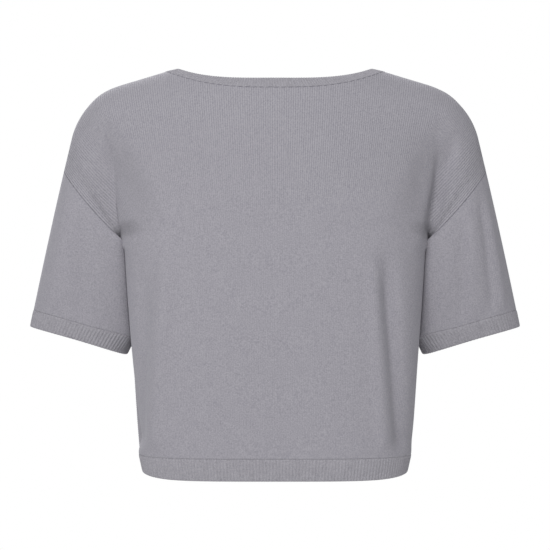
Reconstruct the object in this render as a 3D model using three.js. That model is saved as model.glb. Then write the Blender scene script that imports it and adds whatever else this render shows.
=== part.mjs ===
// Cropped knitted top with drop shoulders, elbow-length sleeves and a wide ribbed neck,
// in the hollow shape that it takes when worn.
// Millimetres, +Z up. The wearer faces -Y, so +Y is the back and +X the wearer's left.
// The origin lies midway between the shoulders, just below the neckband's ends.
//
// Every piece is a thin closed wall. Its outer face is a grid of points worked out from the
// sections below, its inner face is that grid moved in by the cloth's thickness, and strips
// close its edges. Pieces that are sewn together share the points and normals of the seam.

import * as THREE from 'three';

const degrees = (angle) => (angle * Math.PI) / 180;

// Cloth
const JERSEY_THICKNESS = 1.6;
const RIB_THICKNESS = 1.8;
const RIB_RELIEF = 0.6;
const SEAM_GAP = 0.3;
const SLEEVE_SEAM_EASE = 0.24;

// Outline seen from the front: a sloping shoulder line, a round shoulder and a hanging arm line
const SHOULDER_SLOPE = degrees(16.7);
const ARM_LEAN = degrees(13.2);
const SHOULDER_CORNER = { x: 226, z: -25 };
const SHOULDER_ROUND_RADIUS = 87;

// Body
const HEM_EDGE_Z = -464.5;
const HEM_BAND_HEIGHT = 25;
const HEM_SIDE_LIFT = 5;
const HEM_SIDE_POWER = 8;
const UNDERARM = { x: 176.5, z: -192 };
const BODY_SQUARENESS = 2.7;
const SHOULDER_FALL = 170;
const SHOULDER_FALL_POWER = 1.5;
const CENTRE_SOFTENING = 80;
const ARM_BLEND = 5;

// Neck
const NECK_FOOT_X = 128;
const NECKBAND_WIDTH = 15;
const NECK_CURVES = {
  back: { centreZ: -19.5, power: 2.8, bandLean: degrees(52) },
  front: { centreZ: -66, power: 2.3, bandLean: degrees(58) },
};
const NECKBAND_SHOULDER_LEAN = degrees(14);

// Sleeves: distances along the arm line from where the shoulder's round begins
const ARMHOLE_TOP_ALONG = 130;
const ARMHOLE_BOW = 2.4;
const CUFF_EDGE_ALONG = 316.3;
const CUFF_EDGE_DROP = 6.5;
const CUFF_WIDTH = 20;
const ARM_FORWARD = 30;
const ARM_FORWARD_POWER = 1.7;

// Grid steps, and ribs counted from a pitch of 3.6 mm on hem and cuffs and 2.7 mm on the neck
const NECK_COLUMNS = 10;
const SHOULDER_COLUMNS = 12;
const BODY_ROWS = 6;
const YOKE_ROWS = 14;
const UNDERARM_ROWS = 4;
const SLEEVE_ROWS = 6;
const HEM_RIBS_PER_SIDE = 120;
const CUFF_RIBS = 96;
const NECK_RIBS = 220;
const BAND_COLUMNS_PER_STEP = 8;
const CURVE_SAMPLES = 400;
const ALONG_STEP = 0.5;
const TURN_STEP = 0.01;

const HALF_COLUMNS = NECK_COLUMNS + SHOULDER_COLUMNS;
const HEM_SEAM_Z = HEM_EDGE_Z + HEM_BAND_HEIGHT;

// Body sections, from the hem up: half the width, and how far the back and front stand out
const BODY_SECTIONS = [
  { z: HEM_EDGE_Z, halfWidth: 153.5, back: 99, front: 103 },
  { z: HEM_SEAM_Z, halfWidth: 158, back: 101, front: 105 },
  { z: -320, halfWidth: 166.5, back: 104, front: 112 },
  { z: UNDERARM.z, halfWidth: UNDERARM.x, back: 108, front: 118 },
  { z: -100, halfWidth: 186, back: 110, front: 119 },
  { z: 20, halfWidth: 196, back: 108, front: 116 },
];

// Soft folds of the body: a line down the panel, its half-width, and how far it stands out
const BODY_FOLDS = [
  { face: 'back', topX: 138, topZ: -200, lowX: 147, lowZ: -438, spread: 11, height: -7 },
  { face: 'back', topX: 105, topZ: -150, lowX: 121, lowZ: -438, spread: 14, height: 4.5 },
  { face: 'back', topX: -138, topZ: -110, lowX: -146, lowZ: -438, spread: 10, height: -7.5 },
  { face: 'back', topX: -113, topZ: -130, lowX: -121, lowZ: -438, spread: 12, height: 4.5 },
  { face: 'front', topX: 146, topZ: -190, lowX: 140, lowZ: -430, spread: 14, height: -5.5 },
  { face: 'front', topX: 106, topZ: -140, lowX: 112, lowZ: -438, spread: 17, height: 3 },
  { face: 'front', topX: -140, topZ: -170, lowX: -143, lowZ: -434, spread: 12, height: -6 },
  { face: 'front', topX: -108, topZ: -150, lowX: -104, lowZ: -438, spread: 18, height: 3 },
];
const FOLD_FADE_IN = 0.45;
const FOLD_FADE_OUT = 0.08;

// Geometry helpers on plain vectors
const point = (x, y, z) => new THREE.Vector3(x, y, z);
const mix = (a, b, t) => a + (b - a) * t;
const clamp01 = (t) => Math.min(1, Math.max(0, t));
const smoothStep = (t) => clamp01(t) ** 2 * (3 - 2 * clamp01(t));

// A smooth curve through one column of a table, by cubic steps between its rows
function tableValue(table, key, value, name) {
  const last = table.length - 1;
  const at = Math.min(Math.max(value, table[0][key]), table[last][key]);
  let i = 0;
  while (i < last - 1 && at > table[i + 1][key]) i += 1;
  const slope = (a, b) => (table[b][name] - table[a][name]) / (table[b][key] - table[a][key]);
  const step = table[i + 1][key] - table[i][key];
  const t = (at - table[i][key]) / step;
  const slopeIn = (i > 0 ? slope(i - 1, i + 1) : slope(i, i + 1)) * step;
  const slopeOut = (i + 1 < last ? slope(i, i + 2) : slope(i, i + 1)) * step;
  const from = table[i][name] * (1 + 2 * t) * (1 - t) ** 2 + slopeIn * t * (1 - t) ** 2;
  return from + table[i + 1][name] * t * t * (3 - 2 * t) + slopeOut * t * t * (t - 1);
}

// Outline: two straight lines, with directions along them and inwards, and the arc between
const shoulderLine = {
  dir: { x: Math.cos(SHOULDER_SLOPE), z: -Math.sin(SHOULDER_SLOPE) },
  into: { x: -Math.sin(SHOULDER_SLOPE), z: -Math.cos(SHOULDER_SLOPE) },
};
const armLine = {
  dir: { x: Math.sin(ARM_LEAN), z: -Math.cos(ARM_LEAN) },
  into: { x: -Math.cos(ARM_LEAN), z: -Math.sin(ARM_LEAN) },
};
const roundTurn = Math.PI / 2 - ARM_LEAN - SHOULDER_SLOPE;
const roundLength = SHOULDER_ROUND_RADIUS * roundTurn;
const tangentLength = SHOULDER_ROUND_RADIUS * Math.tan(roundTurn / 2);
const offsetFrom = (p, dir, distance) => ({ x: p.x + dir.x * distance, z: p.z + dir.z * distance });
const roundStart = offsetFrom(SHOULDER_CORNER, shoulderLine.dir, -tangentLength);
const roundEnd = offsetFrom(SHOULDER_CORNER, armLine.dir, tangentLength);
const roundCentre = offsetFrom(roundStart, shoulderLine.into, SHOULDER_ROUND_RADIUS);
const along2d = (p, from, dir) => (p.x - from.x) * dir.x + (p.z - from.z) * dir.z;

// Where a point of the front view lies: how far inside the outline, and how far along it
function outlineCoordinates(x, z) {
  const p = { x, z };
  const onShoulder = along2d(p, roundStart, shoulderLine.dir);
  if (onShoulder <= 0) return { inset: along2d(p, roundStart, shoulderLine.into), along: onShoulder };
  const onArm = along2d(p, roundEnd, armLine.dir);
  if (onArm >= 0) return { inset: along2d(p, roundEnd, armLine.into), along: roundLength + onArm };
  const fromCentre = { x: x - roundCentre.x, z: z - roundCentre.z };
  const turned = Math.PI / 2 - SHOULDER_SLOPE - Math.atan2(fromCentre.z, fromCentre.x);
  return {
    inset: SHOULDER_ROUND_RADIUS - Math.hypot(fromCentre.x, fromCentre.z),
    along: SHOULDER_ROUND_RADIUS * turned,
  };
}

function outlinePoint(along) {
  if (along <= 0) return offsetFrom(roundStart, shoulderLine.dir, along);
  if (along >= roundLength) return offsetFrom(roundEnd, armLine.dir, along - roundLength);
  const angle = Math.PI / 2 - SHOULDER_SLOPE - along / SHOULDER_ROUND_RADIUS;
  return {
    x: roundCentre.x + SHOULDER_ROUND_RADIUS * Math.cos(angle),
    z: roundCentre.z + SHOULDER_ROUND_RADIUS * Math.sin(angle),
  };
}

// Arm sections along the outline: width inwards from it, and half the front-to-back depth
const underarmOnOutline = outlineCoordinates(UNDERARM.x, UNDERARM.z);
const ARM_SECTIONS = [
  { along: -120, width: 84, halfDepth: 48, squareness: 2 },
  { along: 45, width: 85, halfDepth: 50, squareness: 2 },
  { along: ARMHOLE_TOP_ALONG, width: 87, halfDepth: 53, squareness: 2.1 },
  { along: underarmOnOutline.along, width: underarmOnOutline.inset, halfDepth: 54, squareness: 2.2 },
  { along: 205, width: 88.9, halfDepth: 54, squareness: 2.2 },
  { along: 220, width: 93.7, halfDepth: 53.5, squareness: 2.3 },
  { along: 265, width: 108.7, halfDepth: 52, squareness: 2.5 },
  { along: 309.5, width: 121.9, halfDepth: 50.5, squareness: 2.7 },
  { along: 323, width: 118, halfDepth: 49, squareness: 2.7 },
];
const armWidth = (along) => tableValue(ARM_SECTIONS, 'along', along, 'width');

// How far a squarish round stands out at a share of its half-width from the middle
const superellipse = (share, squareness) => Math.max(0, 1 - share ** squareness) ** (1 / squareness);

// Half the arm's front-to-back depth, at a share from its middle (0) to its edges (1)
function armHalfDepth(along, share) {
  const squareness = tableValue(ARM_SECTIONS, 'along', along, 'squareness');
  return tableValue(ARM_SECTIONS, 'along', along, 'halfDepth') * superellipse(Math.abs(share), squareness);
}

// |x| with a round bottom, so that the two shoulders meet smoothly at the centre
function softAbs(x) {
  const size = Math.abs(x);
  return size >= CENTRE_SOFTENING ? size : (x * x + CENTRE_SOFTENING ** 2) / (2 * CENTRE_SOFTENING);
}

// How far the body alone stands out at a point of the front view
function bodyDepth(face, x, z) {
  const share = Math.abs(x) / tableValue(BODY_SECTIONS, 'z', z, 'halfWidth');
  const across = superellipse(share, BODY_SQUARENESS);
  const below = along2d({ x: softAbs(x), z }, roundStart, shoulderLine.into);
  const fall = 1 - (1 - clamp01(below / SHOULDER_FALL)) ** SHOULDER_FALL_POWER;
  return tableValue(BODY_SECTIONS, 'z', z, face) * across * Math.sqrt(fall);
}

// How far the arm alone stands out there
function armDepth(x, z) {
  const { inset, along } = outlineCoordinates(softAbs(x), z);
  return armHalfDepth(along, (2 * inset) / armWidth(along) - 1);
}

// Body and arm joined, with a soft valley between them
function clothDepth(face, x, z) {
  const joined = bodyDepth(face, x, z) ** ARM_BLEND + armDepth(x, z) ** ARM_BLEND;
  return joined ** (1 / ARM_BLEND);
}

const facing = { back: 1, front: -1 };

// How far the body's soft folds move a point of a panel along its normal
function foldHeight(face, x, z) {
  let height = 0;
  for (const fold of BODY_FOLDS) {
    if (fold.face !== face || z > fold.topZ || z < fold.lowZ) continue;
    const down = (fold.topZ - z) / (fold.topZ - fold.lowZ);
    const aside = (x - mix(fold.topX, fold.lowX, down)) / fold.spread;
    const fadeIn = smoothStep(down / FOLD_FADE_IN);
    const fadeOut = smoothStep((1 - down) / FOLD_FADE_OUT);
    height += fold.height * Math.exp(-aside * aside) * fadeIn * fadeOut;
  }
  return height;
}

// Parameters at equal spacing along a curve
function evenSteps(curve, from, to, count) {
  const lengths = [0];
  let before = curve(from);
  for (let i = 1; i <= CURVE_SAMPLES; i += 1) {
    const here = curve(mix(from, to, i / CURVE_SAMPLES));
    lengths.push(lengths[i - 1] + here.distanceTo(before));
    before = here;
  }
  const steps = [];
  let i = 1;
  for (let k = 0; k <= count; k += 1) {
    const wanted = (lengths[CURVE_SAMPLES] * k) / count;
    while (i < CURVE_SAMPLES && lengths[i] < wanted) i += 1;
    const share = (wanted - lengths[i - 1]) / (lengths[i] - lengths[i - 1]);
    steps.push(mix(from, to, (i - 1 + clamp01(share)) / CURVE_SAMPLES));
  }
  return steps;
}

// The body's section at one height, from the centre (0) to the side seam (1)
const sectionPoint = (face, z, turn) => {
  const halfWidth = tableValue(BODY_SECTIONS, 'z', z, 'halfWidth');
  const corner = 2 / BODY_SQUARENESS;
  const x = halfWidth * Math.sin((turn * Math.PI) / 2) ** corner;
  const share = Math.max(0, Math.cos((turn * Math.PI) / 2)) ** corner;
  return point(x, facing[face] * tableValue(BODY_SECTIONS, 'z', z, face) * share, z);
};

// The edge of the neck hole, from the centre (0) to the shoulder line (1)
const neckFootAlong = along2d({ x: NECK_FOOT_X, z: 0 }, { x: roundStart.x, z: 0 }, { x: 1, z: 0 })
  / shoulderLine.dir.x;
const neckFootZ = outlinePoint(neckFootAlong).z;
function neckEdge(face, turn) {
  const { centreZ, power } = NECK_CURVES[face];
  const x = NECK_FOOT_X * Math.sin((turn * Math.PI) / 2);
  const z = mix(centreZ, neckFootZ, (x / NECK_FOOT_X) ** power);
  return point(x, facing[face] * clothDepth(face, x, z), z);
}

// Arm surface: turn 0 is the outline, half a turn the inner side, and the back lies between
function armPoint(along, turn) {
  const edge = outlinePoint(along);
  const inset = (armWidth(along) / 2) * (1 - Math.cos(turn));
  const p = offsetFrom(edge, armLine.into, inset);
  return point(p.x, armHalfDepth(along, Math.cos(turn)) * Math.sign(Math.sin(turn)), p.z);
}

// Armhole seam: from the underarm (0) to the top of the sleeve (1), bowed a little to the sleeve
const armholeTop = outlinePoint(ARMHOLE_TOP_ALONG);
const armholeLength = Math.hypot(armholeTop.x - UNDERARM.x, armholeTop.z - UNDERARM.z);
const armholeOut = {
  x: (armholeTop.z - UNDERARM.z) / armholeLength,
  z: (UNDERARM.x - armholeTop.x) / armholeLength,
};
const yokeStep = (row) => (1 - Math.cos((Math.PI * row) / YOKE_ROWS)) / 2;
function armholeTurn(row) {
  const t = yokeStep(row);
  const straight = { x: mix(UNDERARM.x, armholeTop.x, t), z: mix(UNDERARM.z, armholeTop.z, t) };
  const p = offsetFrom(straight, armholeOut, 4 * ARMHOLE_BOW * t * (1 - t));
  const at = outlineCoordinates(p.x, p.z);
  const turn = Math.acos(1 - 2 * clamp01(at.inset / armWidth(at.along)));
  return { along: at.along, turn };
}

// Normal of a tube's surface, given as a function of the way along it and the turn round it
function tubeNormal(surface, along, turn) {
  const forward = surface(along + ALONG_STEP, turn).sub(surface(along - ALONG_STEP, turn));
  const around = surface(along, turn + TURN_STEP).sub(surface(along, turn - TURN_STEP));
  return forward.cross(around).normalize();
}

const armholeSeam = Array.from({ length: YOKE_ROWS + 1 }, (_, row) => {
  const { along, turn } = armholeTurn(row);
  const atUnderarm = row === 0;
  const p = atUnderarm ? point(UNDERARM.x, 0, UNDERARM.z) : armPoint(along, turn);
  const normal = atUnderarm ? point(-1, 0, 0) : tubeNormal(armPoint, along, turn);
  return { along, turn: atUnderarm ? Math.PI : turn, p, normal };
});

// Normals of a grid of points, from the neighbours of each
function gridNormals(grid, closed) {
  const rows = grid.length;
  const columns = grid[0].length;
  return grid.map((line, r) => line.map((_, c) => {
    const before = closed ? (c + columns - 1) % columns : Math.max(0, c - 1);
    const after = closed ? (c + 1) % columns : Math.min(columns - 1, c + 1);
    const across = line[after].clone().sub(line[before]);
    const up = grid[Math.min(rows - 1, r + 1)][c].clone().sub(grid[Math.max(0, r - 1)][c]);
    return across.cross(up).normalize();
  }));
}

// How far to move an edge point back into its own piece, square to the edge
function pullBack(p, inside, edgeBefore, edgeAfter, distance = SEAM_GAP / 2) {
  const edge = edgeAfter.clone().sub(edgeBefore).normalize();
  const back = inside.clone().sub(p);
  back.addScaledVector(edge, -back.dot(edge)).normalize();
  return back.multiplyScalar(distance);
}

// Closed wall from an outer and an inner grid
function wallGeometry(outer, inner, closed) {
  const rows = outer.length;
  const columns = outer[0].length;
  const positions = [...outer.flat(), ...inner.flat()].flatMap((p) => [p.x, p.y, p.z]);
  const at = (layer, r, c) => layer * rows * columns + r * columns + (c % columns);
  const index = [];
  const quad = (a, b, c, d) => index.push(a, b, c, a, c, d);
  const spans = closed ? columns : columns - 1;
  for (let r = 0; r < rows - 1; r += 1) {
    for (let c = 0; c < spans; c += 1) {
      const out = [at(0, r, c), at(0, r, c + 1), at(0, r + 1, c + 1), at(0, r + 1, c)];
      const into = [at(1, r, c), at(1, r + 1, c), at(1, r + 1, c + 1), at(1, r, c + 1)];
      const leansInwards = c >= spans / 2;
      quad(...(leansInwards ? [...out.slice(1), out[0]] : out));
      quad(...(leansInwards ? [into[3], ...into.slice(0, 3)] : into));
    }
  }
  for (let c = 0; c < spans; c += 1) {
    quad(at(0, 0, c), at(1, 0, c), at(1, 0, c + 1), at(0, 0, c + 1));
    quad(at(0, rows - 1, c), at(0, rows - 1, c + 1), at(1, rows - 1, c + 1), at(1, rows - 1, c));
  }
  if (!closed) {
    for (let r = 0; r < rows - 1; r += 1) {
      quad(at(0, r, 0), at(0, r + 1, 0), at(1, r + 1, 0), at(1, r, 0));
      quad(at(0, r, spans), at(1, r, spans), at(1, r + 1, spans), at(0, r + 1, spans));
    }
  }
  return outwardGeometry(positions, index);
}

// Ribbed wall between two edges: ribs stand out of a plain inner face with fewer columns
function ribbedGeometry(lowEdge, highEdge, closed) {
  const count = lowEdge.length;
  const columns = closed ? count : count - 1;
  const steps = columns / BAND_COLUMNS_PER_STEP;
  const insideCount = closed ? steps : steps + 1;
  const raised = ({ p, normal }, c) => p.clone().addScaledVector(normal, c % 2 ? RIB_RELIEF : 0);
  const inside = ({ p, normal }) => p.clone().addScaledVector(normal, -RIB_THICKNESS);
  const everyStep = (edge) => Array.from(
    { length: insideCount },
    (_, i) => inside(edge[i * BAND_COLUMNS_PER_STEP]),
  );
  const points = [
    ...lowEdge.map(raised),
    ...highEdge.map(raised),
    ...everyStep(lowEdge),
    ...everyStep(highEdge),
  ];
  const out = (high, c) => high * count + (c % count);
  const into = (high, i) => 2 * count + high * insideCount + (i % insideCount);
  const index = [];
  for (let c = 0; c < columns; c += 1) {
    index.push(out(0, c), out(0, c + 1), out(1, c + 1), out(0, c), out(1, c + 1), out(1, c));
  }
  for (let i = 0; i < steps; i += 1) {
    index.push(into(0, i), into(1, i), into(1, i + 1), into(0, i), into(1, i + 1), into(0, i + 1));
    const first = i * BAND_COLUMNS_PER_STEP;
    const middle = first + BAND_COLUMNS_PER_STEP / 2;
    for (let c = first; c < first + BAND_COLUMNS_PER_STEP; c += 1) {
      const near = c < middle ? i : i + 1;
      index.push(out(0, c), into(0, near), out(0, c + 1), out(1, c), out(1, c + 1), into(1, near));
    }
    index.push(out(0, middle), into(0, i), into(0, i + 1), out(1, middle), into(1, i + 1), into(1, i));
  }
  if (!closed) {
    index.push(out(0, 0), out(1, 0), into(1, 0), out(0, 0), into(1, 0), into(0, 0));
    const end = columns;
    index.push(out(0, end), into(0, steps), into(1, steps), out(0, end), into(1, steps), out(1, end));
  }
  return outwardGeometry(points.flatMap((p) => [p.x, p.y, p.z]), index);
}

// Geometry whose faces point outwards, whichever way round its grid was made
function outwardGeometry(positions, index) {
  const corner = (i) => point(...positions.slice(3 * i, 3 * i + 3));
  let volume = 0;
  for (let i = 0; i < index.length; i += 3) {
    volume += corner(index[i]).dot(corner(index[i + 1]).cross(corner(index[i + 2])));
  }
  if (volume < 0) {
    for (let i = 0; i < index.length; i += 3) [index[i], index[i + 1]] = [index[i + 1], index[i]];
  }
  const geometry = new THREE.BufferGeometry();
  geometry.setAttribute('position', new THREE.Float32BufferAttribute(positions, 3));
  geometry.setIndex(index);
  geometry.computeVertexNormals();
  return geometry;
}

// One half of a panel's outer grid, rows from the hem seam up, columns from the centre out
function halfPanel(face) {
  const lowRows = Array.from({ length: BODY_ROWS }, (_, row) => mix(HEM_SEAM_Z, UNDERARM.z, row / BODY_ROWS));
  const rowAt = (z) => evenSteps((turn) => sectionPoint(face, z, turn), 0, 1, HALF_COLUMNS)
    .map((turn) => sectionPoint(face, z, turn));
  const underarmRow = rowAt(UNDERARM.z);
  const neckSteps = evenSteps((turn) => neckEdge(face, turn), 0, 1, NECK_COLUMNS);
  const top = neckSteps.map((turn) => neckEdge(face, turn));
  for (let c = 1; c <= SHOULDER_COLUMNS; c += 1) {
    const p = outlinePoint(mix(neckFootAlong, ARMHOLE_TOP_ALONG, c / SHOULDER_COLUMNS));
    top.push(point(p.x, 0, p.z));
  }
  const yokeRows = Array.from({ length: YOKE_ROWS }, (_, row) => top.map((end, c) => {
    if (row === YOKE_ROWS - 1) return end.clone();
    if (c === HALF_COLUMNS) {
      const seam = armholeSeam[row + 1].p;
      return point(seam.x, facing[face] * seam.y, seam.z);
    }
    const t = yokeStep(row + 1);
    const x = mix(underarmRow[c].x, end.x, t);
    const z = mix(underarmRow[c].z, end.z, t);
    return point(x, facing[face] * clothDepth(face, x, z), z);
  }));
  return [...lowRows.map(rowAt), underarmRow, ...yokeRows];
}

const mirrored = (p) => point(-p.x, p.y, p.z);

// A whole panel: both halves, their folds, normals that agree with the neighbours, and seams
function panel(face) {
  const half = halfPanel(face);
  const grid = half.map((line) => [...line.slice(1).map(mirrored).reverse(), ...line]);
  const columns = grid[0].length;
  const lastRow = grid.length - 1;
  const direct = gridNormals(grid, false);
  const sign = direct[0][HALF_COLUMNS].y * facing[face] > 0 ? 1 : -1;
  const normals = direct.map((line, r) => line.map((found, c) => {
    const normal = found.clone().multiplyScalar(sign);
    const fromCentre = Math.abs(c - HALF_COLUMNS);
    const onSide = fromCentre === HALF_COLUMNS;
    if (onSide && r > BODY_ROWS) {
      const seam = armholeSeam[r - BODY_ROWS].normal;
      const ofArm = point(Math.sign(c - HALF_COLUMNS) * seam.x, facing[face] * seam.y, seam.z);
      return normal.lerp(ofArm, smoothStep((r - BODY_ROWS) / UNDERARM_ROWS)).normalize();
    }
    const onShoulder = r === lastRow && fromCentre >= NECK_COLUMNS;
    if (onSide || onShoulder) normal.y = 0;
    if (r === 0) normal.z = 0;
    return normal.normalize();
  }));
  const outer = grid.map((line, r) => line.map((p, c) => p.clone().addScaledVector(
    normals[r][c],
    foldHeight(face, p.x, p.z),
  )));
  const shift = outer.map((line, r) => line.map((p, c) => {
    const moved = point(0, 0, 0);
    const inRow = Math.min(Math.max(c, 1), columns - 2);
    const inColumn = Math.min(Math.max(r, 1), lastRow - 1);
    const rowEnds = [outer[Math.max(0, r - 1)][c], outer[Math.min(lastRow, r + 1)][c]];
    const columnEnds = [line[Math.max(0, c - 1)], line[Math.min(columns - 1, c + 1)]];
    if (inRow !== c) moved.add(pullBack(p, line[inRow], ...rowEnds));
    if (inColumn !== r) moved.add(pullBack(p, outer[inColumn][c], ...columnEnds));
    return moved;
  }));
  const placed = outer.map((line, r) => line.map((p, c) => p.clone().add(shift[r][c])));
  const inner = placed.map((line, r) => line.map((p, c) => p.clone().addScaledVector(
    normals[r][c],
    -JERSEY_THICKNESS,
  )));
  const neckLine = [];
  for (let c = -NECK_COLUMNS; c <= NECK_COLUMNS; c += 1) {
    const at = HALF_COLUMNS + c;
    neckLine.push({
      p: outer[lastRow][at].clone().addScaledVector(shift[lastRow][at], -1),
      normal: normals[lastRow][at],
    });
  }
  return { geometry: wallGeometry(placed, inner, false), neckLine };
}

// Sleeve surface of the wearer's left arm, between the armhole and the cuff's edge.
// Side is 1 on the back and -1 on the front, and the arm reaches forward towards the cuff.
const cuffEdgeAlong = (turn) => CUFF_EDGE_ALONG + CUFF_EDGE_DROP * ((1 - Math.cos(turn)) / 2) ** 2;
function sleevePoint(along, turn, seamAlong) {
  const share = clamp01((along - seamAlong) / (cuffEdgeAlong(turn) - seamAlong));
  const p = armPoint(along, turn);
  p.y -= ARM_FORWARD * share ** ARM_FORWARD_POWER;
  return p;
}

// Turns round the arm for the sleeve's columns, with where the armhole seam lies on each
const backColumns = armholeSeam.map(({ along, turn }) => ({ along, turn }));
const frontColumns = backColumns.slice(1, -1).reverse()
  .map(({ along, turn }) => ({ along, turn: 2 * Math.PI - turn }));
const sleeveColumns = [...backColumns, ...frontColumns];

// Where the armhole seam lies at any turn round the arm
function seamAlongAt(turn) {
  const back = turn > Math.PI ? 2 * Math.PI - turn : turn;
  let i = backColumns.length - 1;
  while (i > 1 && backColumns[i - 1].turn < back) i -= 1;
  const [low, high] = [backColumns[i - 1], backColumns[i]];
  return mix(low.along, high.along, clamp01((low.turn - back) / (low.turn - high.turn)));
}

function sleeve(side) {
  const cuffSeamAlong = (turn) => cuffEdgeAlong(turn) - CUFF_WIDTH;
  const seamAt = (c, name) => {
    const onFront = c >= backColumns.length;
    const found = armholeSeam[onFront ? 2 * YOKE_ROWS - c : c][name];
    return point(found.x, onFront ? -found.y : found.y, found.z);
  };
  const grid = Array.from({ length: SLEEVE_ROWS + 1 }, (_, row) => sleeveColumns.map((start, c) => {
    if (row === 0) return seamAt(c, 'p');
    const end = cuffSeamAlong(start.turn) - SEAM_GAP / 2;
    return sleevePoint(mix(start.along, end, row / SLEEVE_ROWS), start.turn, start.along);
  }));
  const found = gridNormals(grid, true);
  const sign = found[1][YOKE_ROWS].x > 0 ? 1 : -1;
  const normals = found.map((line, r) => line.map((normal, c) => (
    r === 0 ? seamAt(c, 'normal') : normal.multiplyScalar(sign)
  )));
  const count = sleeveColumns.length;
  const outer = grid.map((line, r) => line.map((p, c) => {
    if (r > 0) return p.clone();
    const ends = [line[(c + count - 1) % count], line[(c + 1) % count]];
    return p.clone().add(pullBack(p, grid[1][c], ...ends, SLEEVE_SEAM_EASE));
  }));
  const inner = outer.map((line, r) => line.map((p, c) => p.clone().addScaledVector(
    normals[r][c],
    -JERSEY_THICKNESS,
  )));
  const onSide = (lines) => (side > 0 ? lines : lines.map((line) => line.map(mirrored)));
  return wallGeometry(onSide(outer), onSide(inner), true);
}

function cuff(side) {
  const edgeAt = (turn, back) => sleevePoint(cuffEdgeAlong(turn) - back, turn, seamAlongAt(turn));
  const turns = evenSteps((turn) => edgeAt(turn, 0), 0, 2 * Math.PI, 2 * CUFF_RIBS).slice(0, -1);
  const edge = (back) => turns.map((turn) => {
    const surface = (along, at) => sleevePoint(along, at, seamAlongAt(at));
    const along = cuffEdgeAlong(turn) - back;
    const normal = tubeNormal(surface, along - 2 * ALONG_STEP, turn);
    const at = { p: edgeAt(turn, back), normal };
    return side > 0 ? at : { p: mirrored(at.p), normal: mirrored(at.normal) };
  });
  return ribbedGeometry(edge(0), edge(CUFF_WIDTH - SEAM_GAP / 2), true);
}

// Half of the hem band, from one side seam to the other. Its free edge rises at the sides.
function hemBand(face) {
  const ribs = HEM_RIBS_PER_SIDE;
  const turns = evenSteps((turn) => sectionPoint(face, HEM_EDGE_Z, turn), 0, 1, ribs);
  const edge = (z, sideLift) => {
    const half = turns.map((turn, i) => {
      const p = sectionPoint(face, z, turn);
      p.z += sideLift * (p.x / tableValue(BODY_SECTIONS, 'z', z, 'halfWidth')) ** HEM_SIDE_POWER;
      const ahead = sectionPoint(face, z, Math.min(1, turn + TURN_STEP));
      const tangent = ahead.sub(sectionPoint(face, z, Math.max(0, turn - TURN_STEP)));
      const normal = point(-tangent.y, tangent.x, 0).multiplyScalar(facing[face]).normalize();
      if (i === 0) normal.set(0, facing[face], 0);
      if (i === turns.length - 1) {
        normal.set(1, 0, 0);
        p.y = (facing[face] * SEAM_GAP) / 2;
      }
      return { p, normal };
    });
    const other = half.slice(1).reverse()
      .map(({ p, normal }) => ({ p: mirrored(p), normal: mirrored(normal) }));
    return [...other, ...half];
  };
  return ribbedGeometry(edge(HEM_EDGE_Z, HEM_SIDE_LIFT), edge(HEM_SEAM_Z - SEAM_GAP / 2, 0), false);
}

// Neckband: a ribbed ring that carries on from the panels' edge towards the neck
function neckband(backLine, frontLine) {
  const ring = [...backLine, ...frontLine.slice(1, -1).reverse()];
  const count = ring.length;
  const perStep = (2 * NECK_RIBS) / count;
  const tangents = ring.map((_, i) => {
    const tangent = ring[(i + 1) % count].p.clone().sub(ring[(i + count - 1) % count].p);
    return tangent.normalize();
  });
  const towardsNeck = ring.map(({ p }, i) => {
    const { bandLean } = NECK_CURVES[p.y > 0 ? 'back' : 'front'];
    const aside = Math.min(1, Math.abs(p.x) / NECK_FOOT_X) ** 2;
    const lean = mix(bandLean, NECKBAND_SHOULDER_LEAN, aside);
    const way = tangents[i].clone().cross(point(0, 0, 1)).setZ(0).normalize();
    if (way.dot(p) > 0) way.negate();
    return way.multiplyScalar(Math.cos(lean)).setZ(Math.sin(lean));
  });
  const edge = (width) => Array.from({ length: 2 * NECK_RIBS }, (_, i) => {
    const step = Math.floor(i / perStep);
    const share = i / perStep - step;
    const next = (step + 1) % count;
    const way = towardsNeck[step].clone().lerp(towardsNeck[next], share).normalize();
    const ofPanel = ring[step].normal.clone().lerp(ring[next].normal, share).normalize();
    const ofBand = tangents[step].clone().lerp(tangents[next], share).cross(way).normalize();
    if (ofBand.dot(ofPanel) < 0) ofBand.negate();
    const normal = ofPanel.lerp(ofBand, width / NECKBAND_WIDTH).normalize();
    return { p: ring[step].p.clone().lerp(ring[next].p, share).addScaledVector(way, width), normal };
  });
  return ribbedGeometry(edge(SEAM_GAP / 2), edge(NECKBAND_WIDTH), true);
}

// Materials: a soft matt knit, a shade deeper where it is ribbed
const jersey = new THREE.MeshStandardMaterial({ color: 0x9b9aa3, roughness: 0.9, metalness: 0 });
const rib = new THREE.MeshStandardMaterial({ color: 0x96959f, roughness: 0.92, metalness: 0 });

const garment = new THREE.Group();
function add(name, geometry, material) {
  const mesh = new THREE.Mesh(geometry, material.clone());
  mesh.name = name;
  garment.add(mesh);
}

const back = panel('back');
const front = panel('front');
add('back_panel', back.geometry, jersey);
add('front_panel', front.geometry, jersey);
add('neckband', neckband(back.neckLine, front.neckLine), rib);
for (const face of ['back', 'front']) add(`hem_band_${face}`, hemBand(face), rib);
for (const [name, side] of [['left', 1], ['right', -1]]) {
  add(`sleeve_${name}`, sleeve(side), jersey);
  add(`cuff_${name}`, cuff(side), rib);
}

export default garment;
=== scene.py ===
"""Dress the cropped knitted top in Blender: fine knitted panels, sleeves and ribbed bands.

Axes are the part's own: the wearer faces -Y, +X is the wearer's left and +Z is up. Sizes are
in millimetres and become metres where a mesh is made. Each piece is a closed wall on the same
worn form as its solid, with softer folds, sunk seams, real ribs and rows of linking stitches.
"""

import logging
import math
from dataclasses import dataclass, field
from enum import Enum
from functools import cached_property
from typing import Callable, NamedTuple

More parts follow.
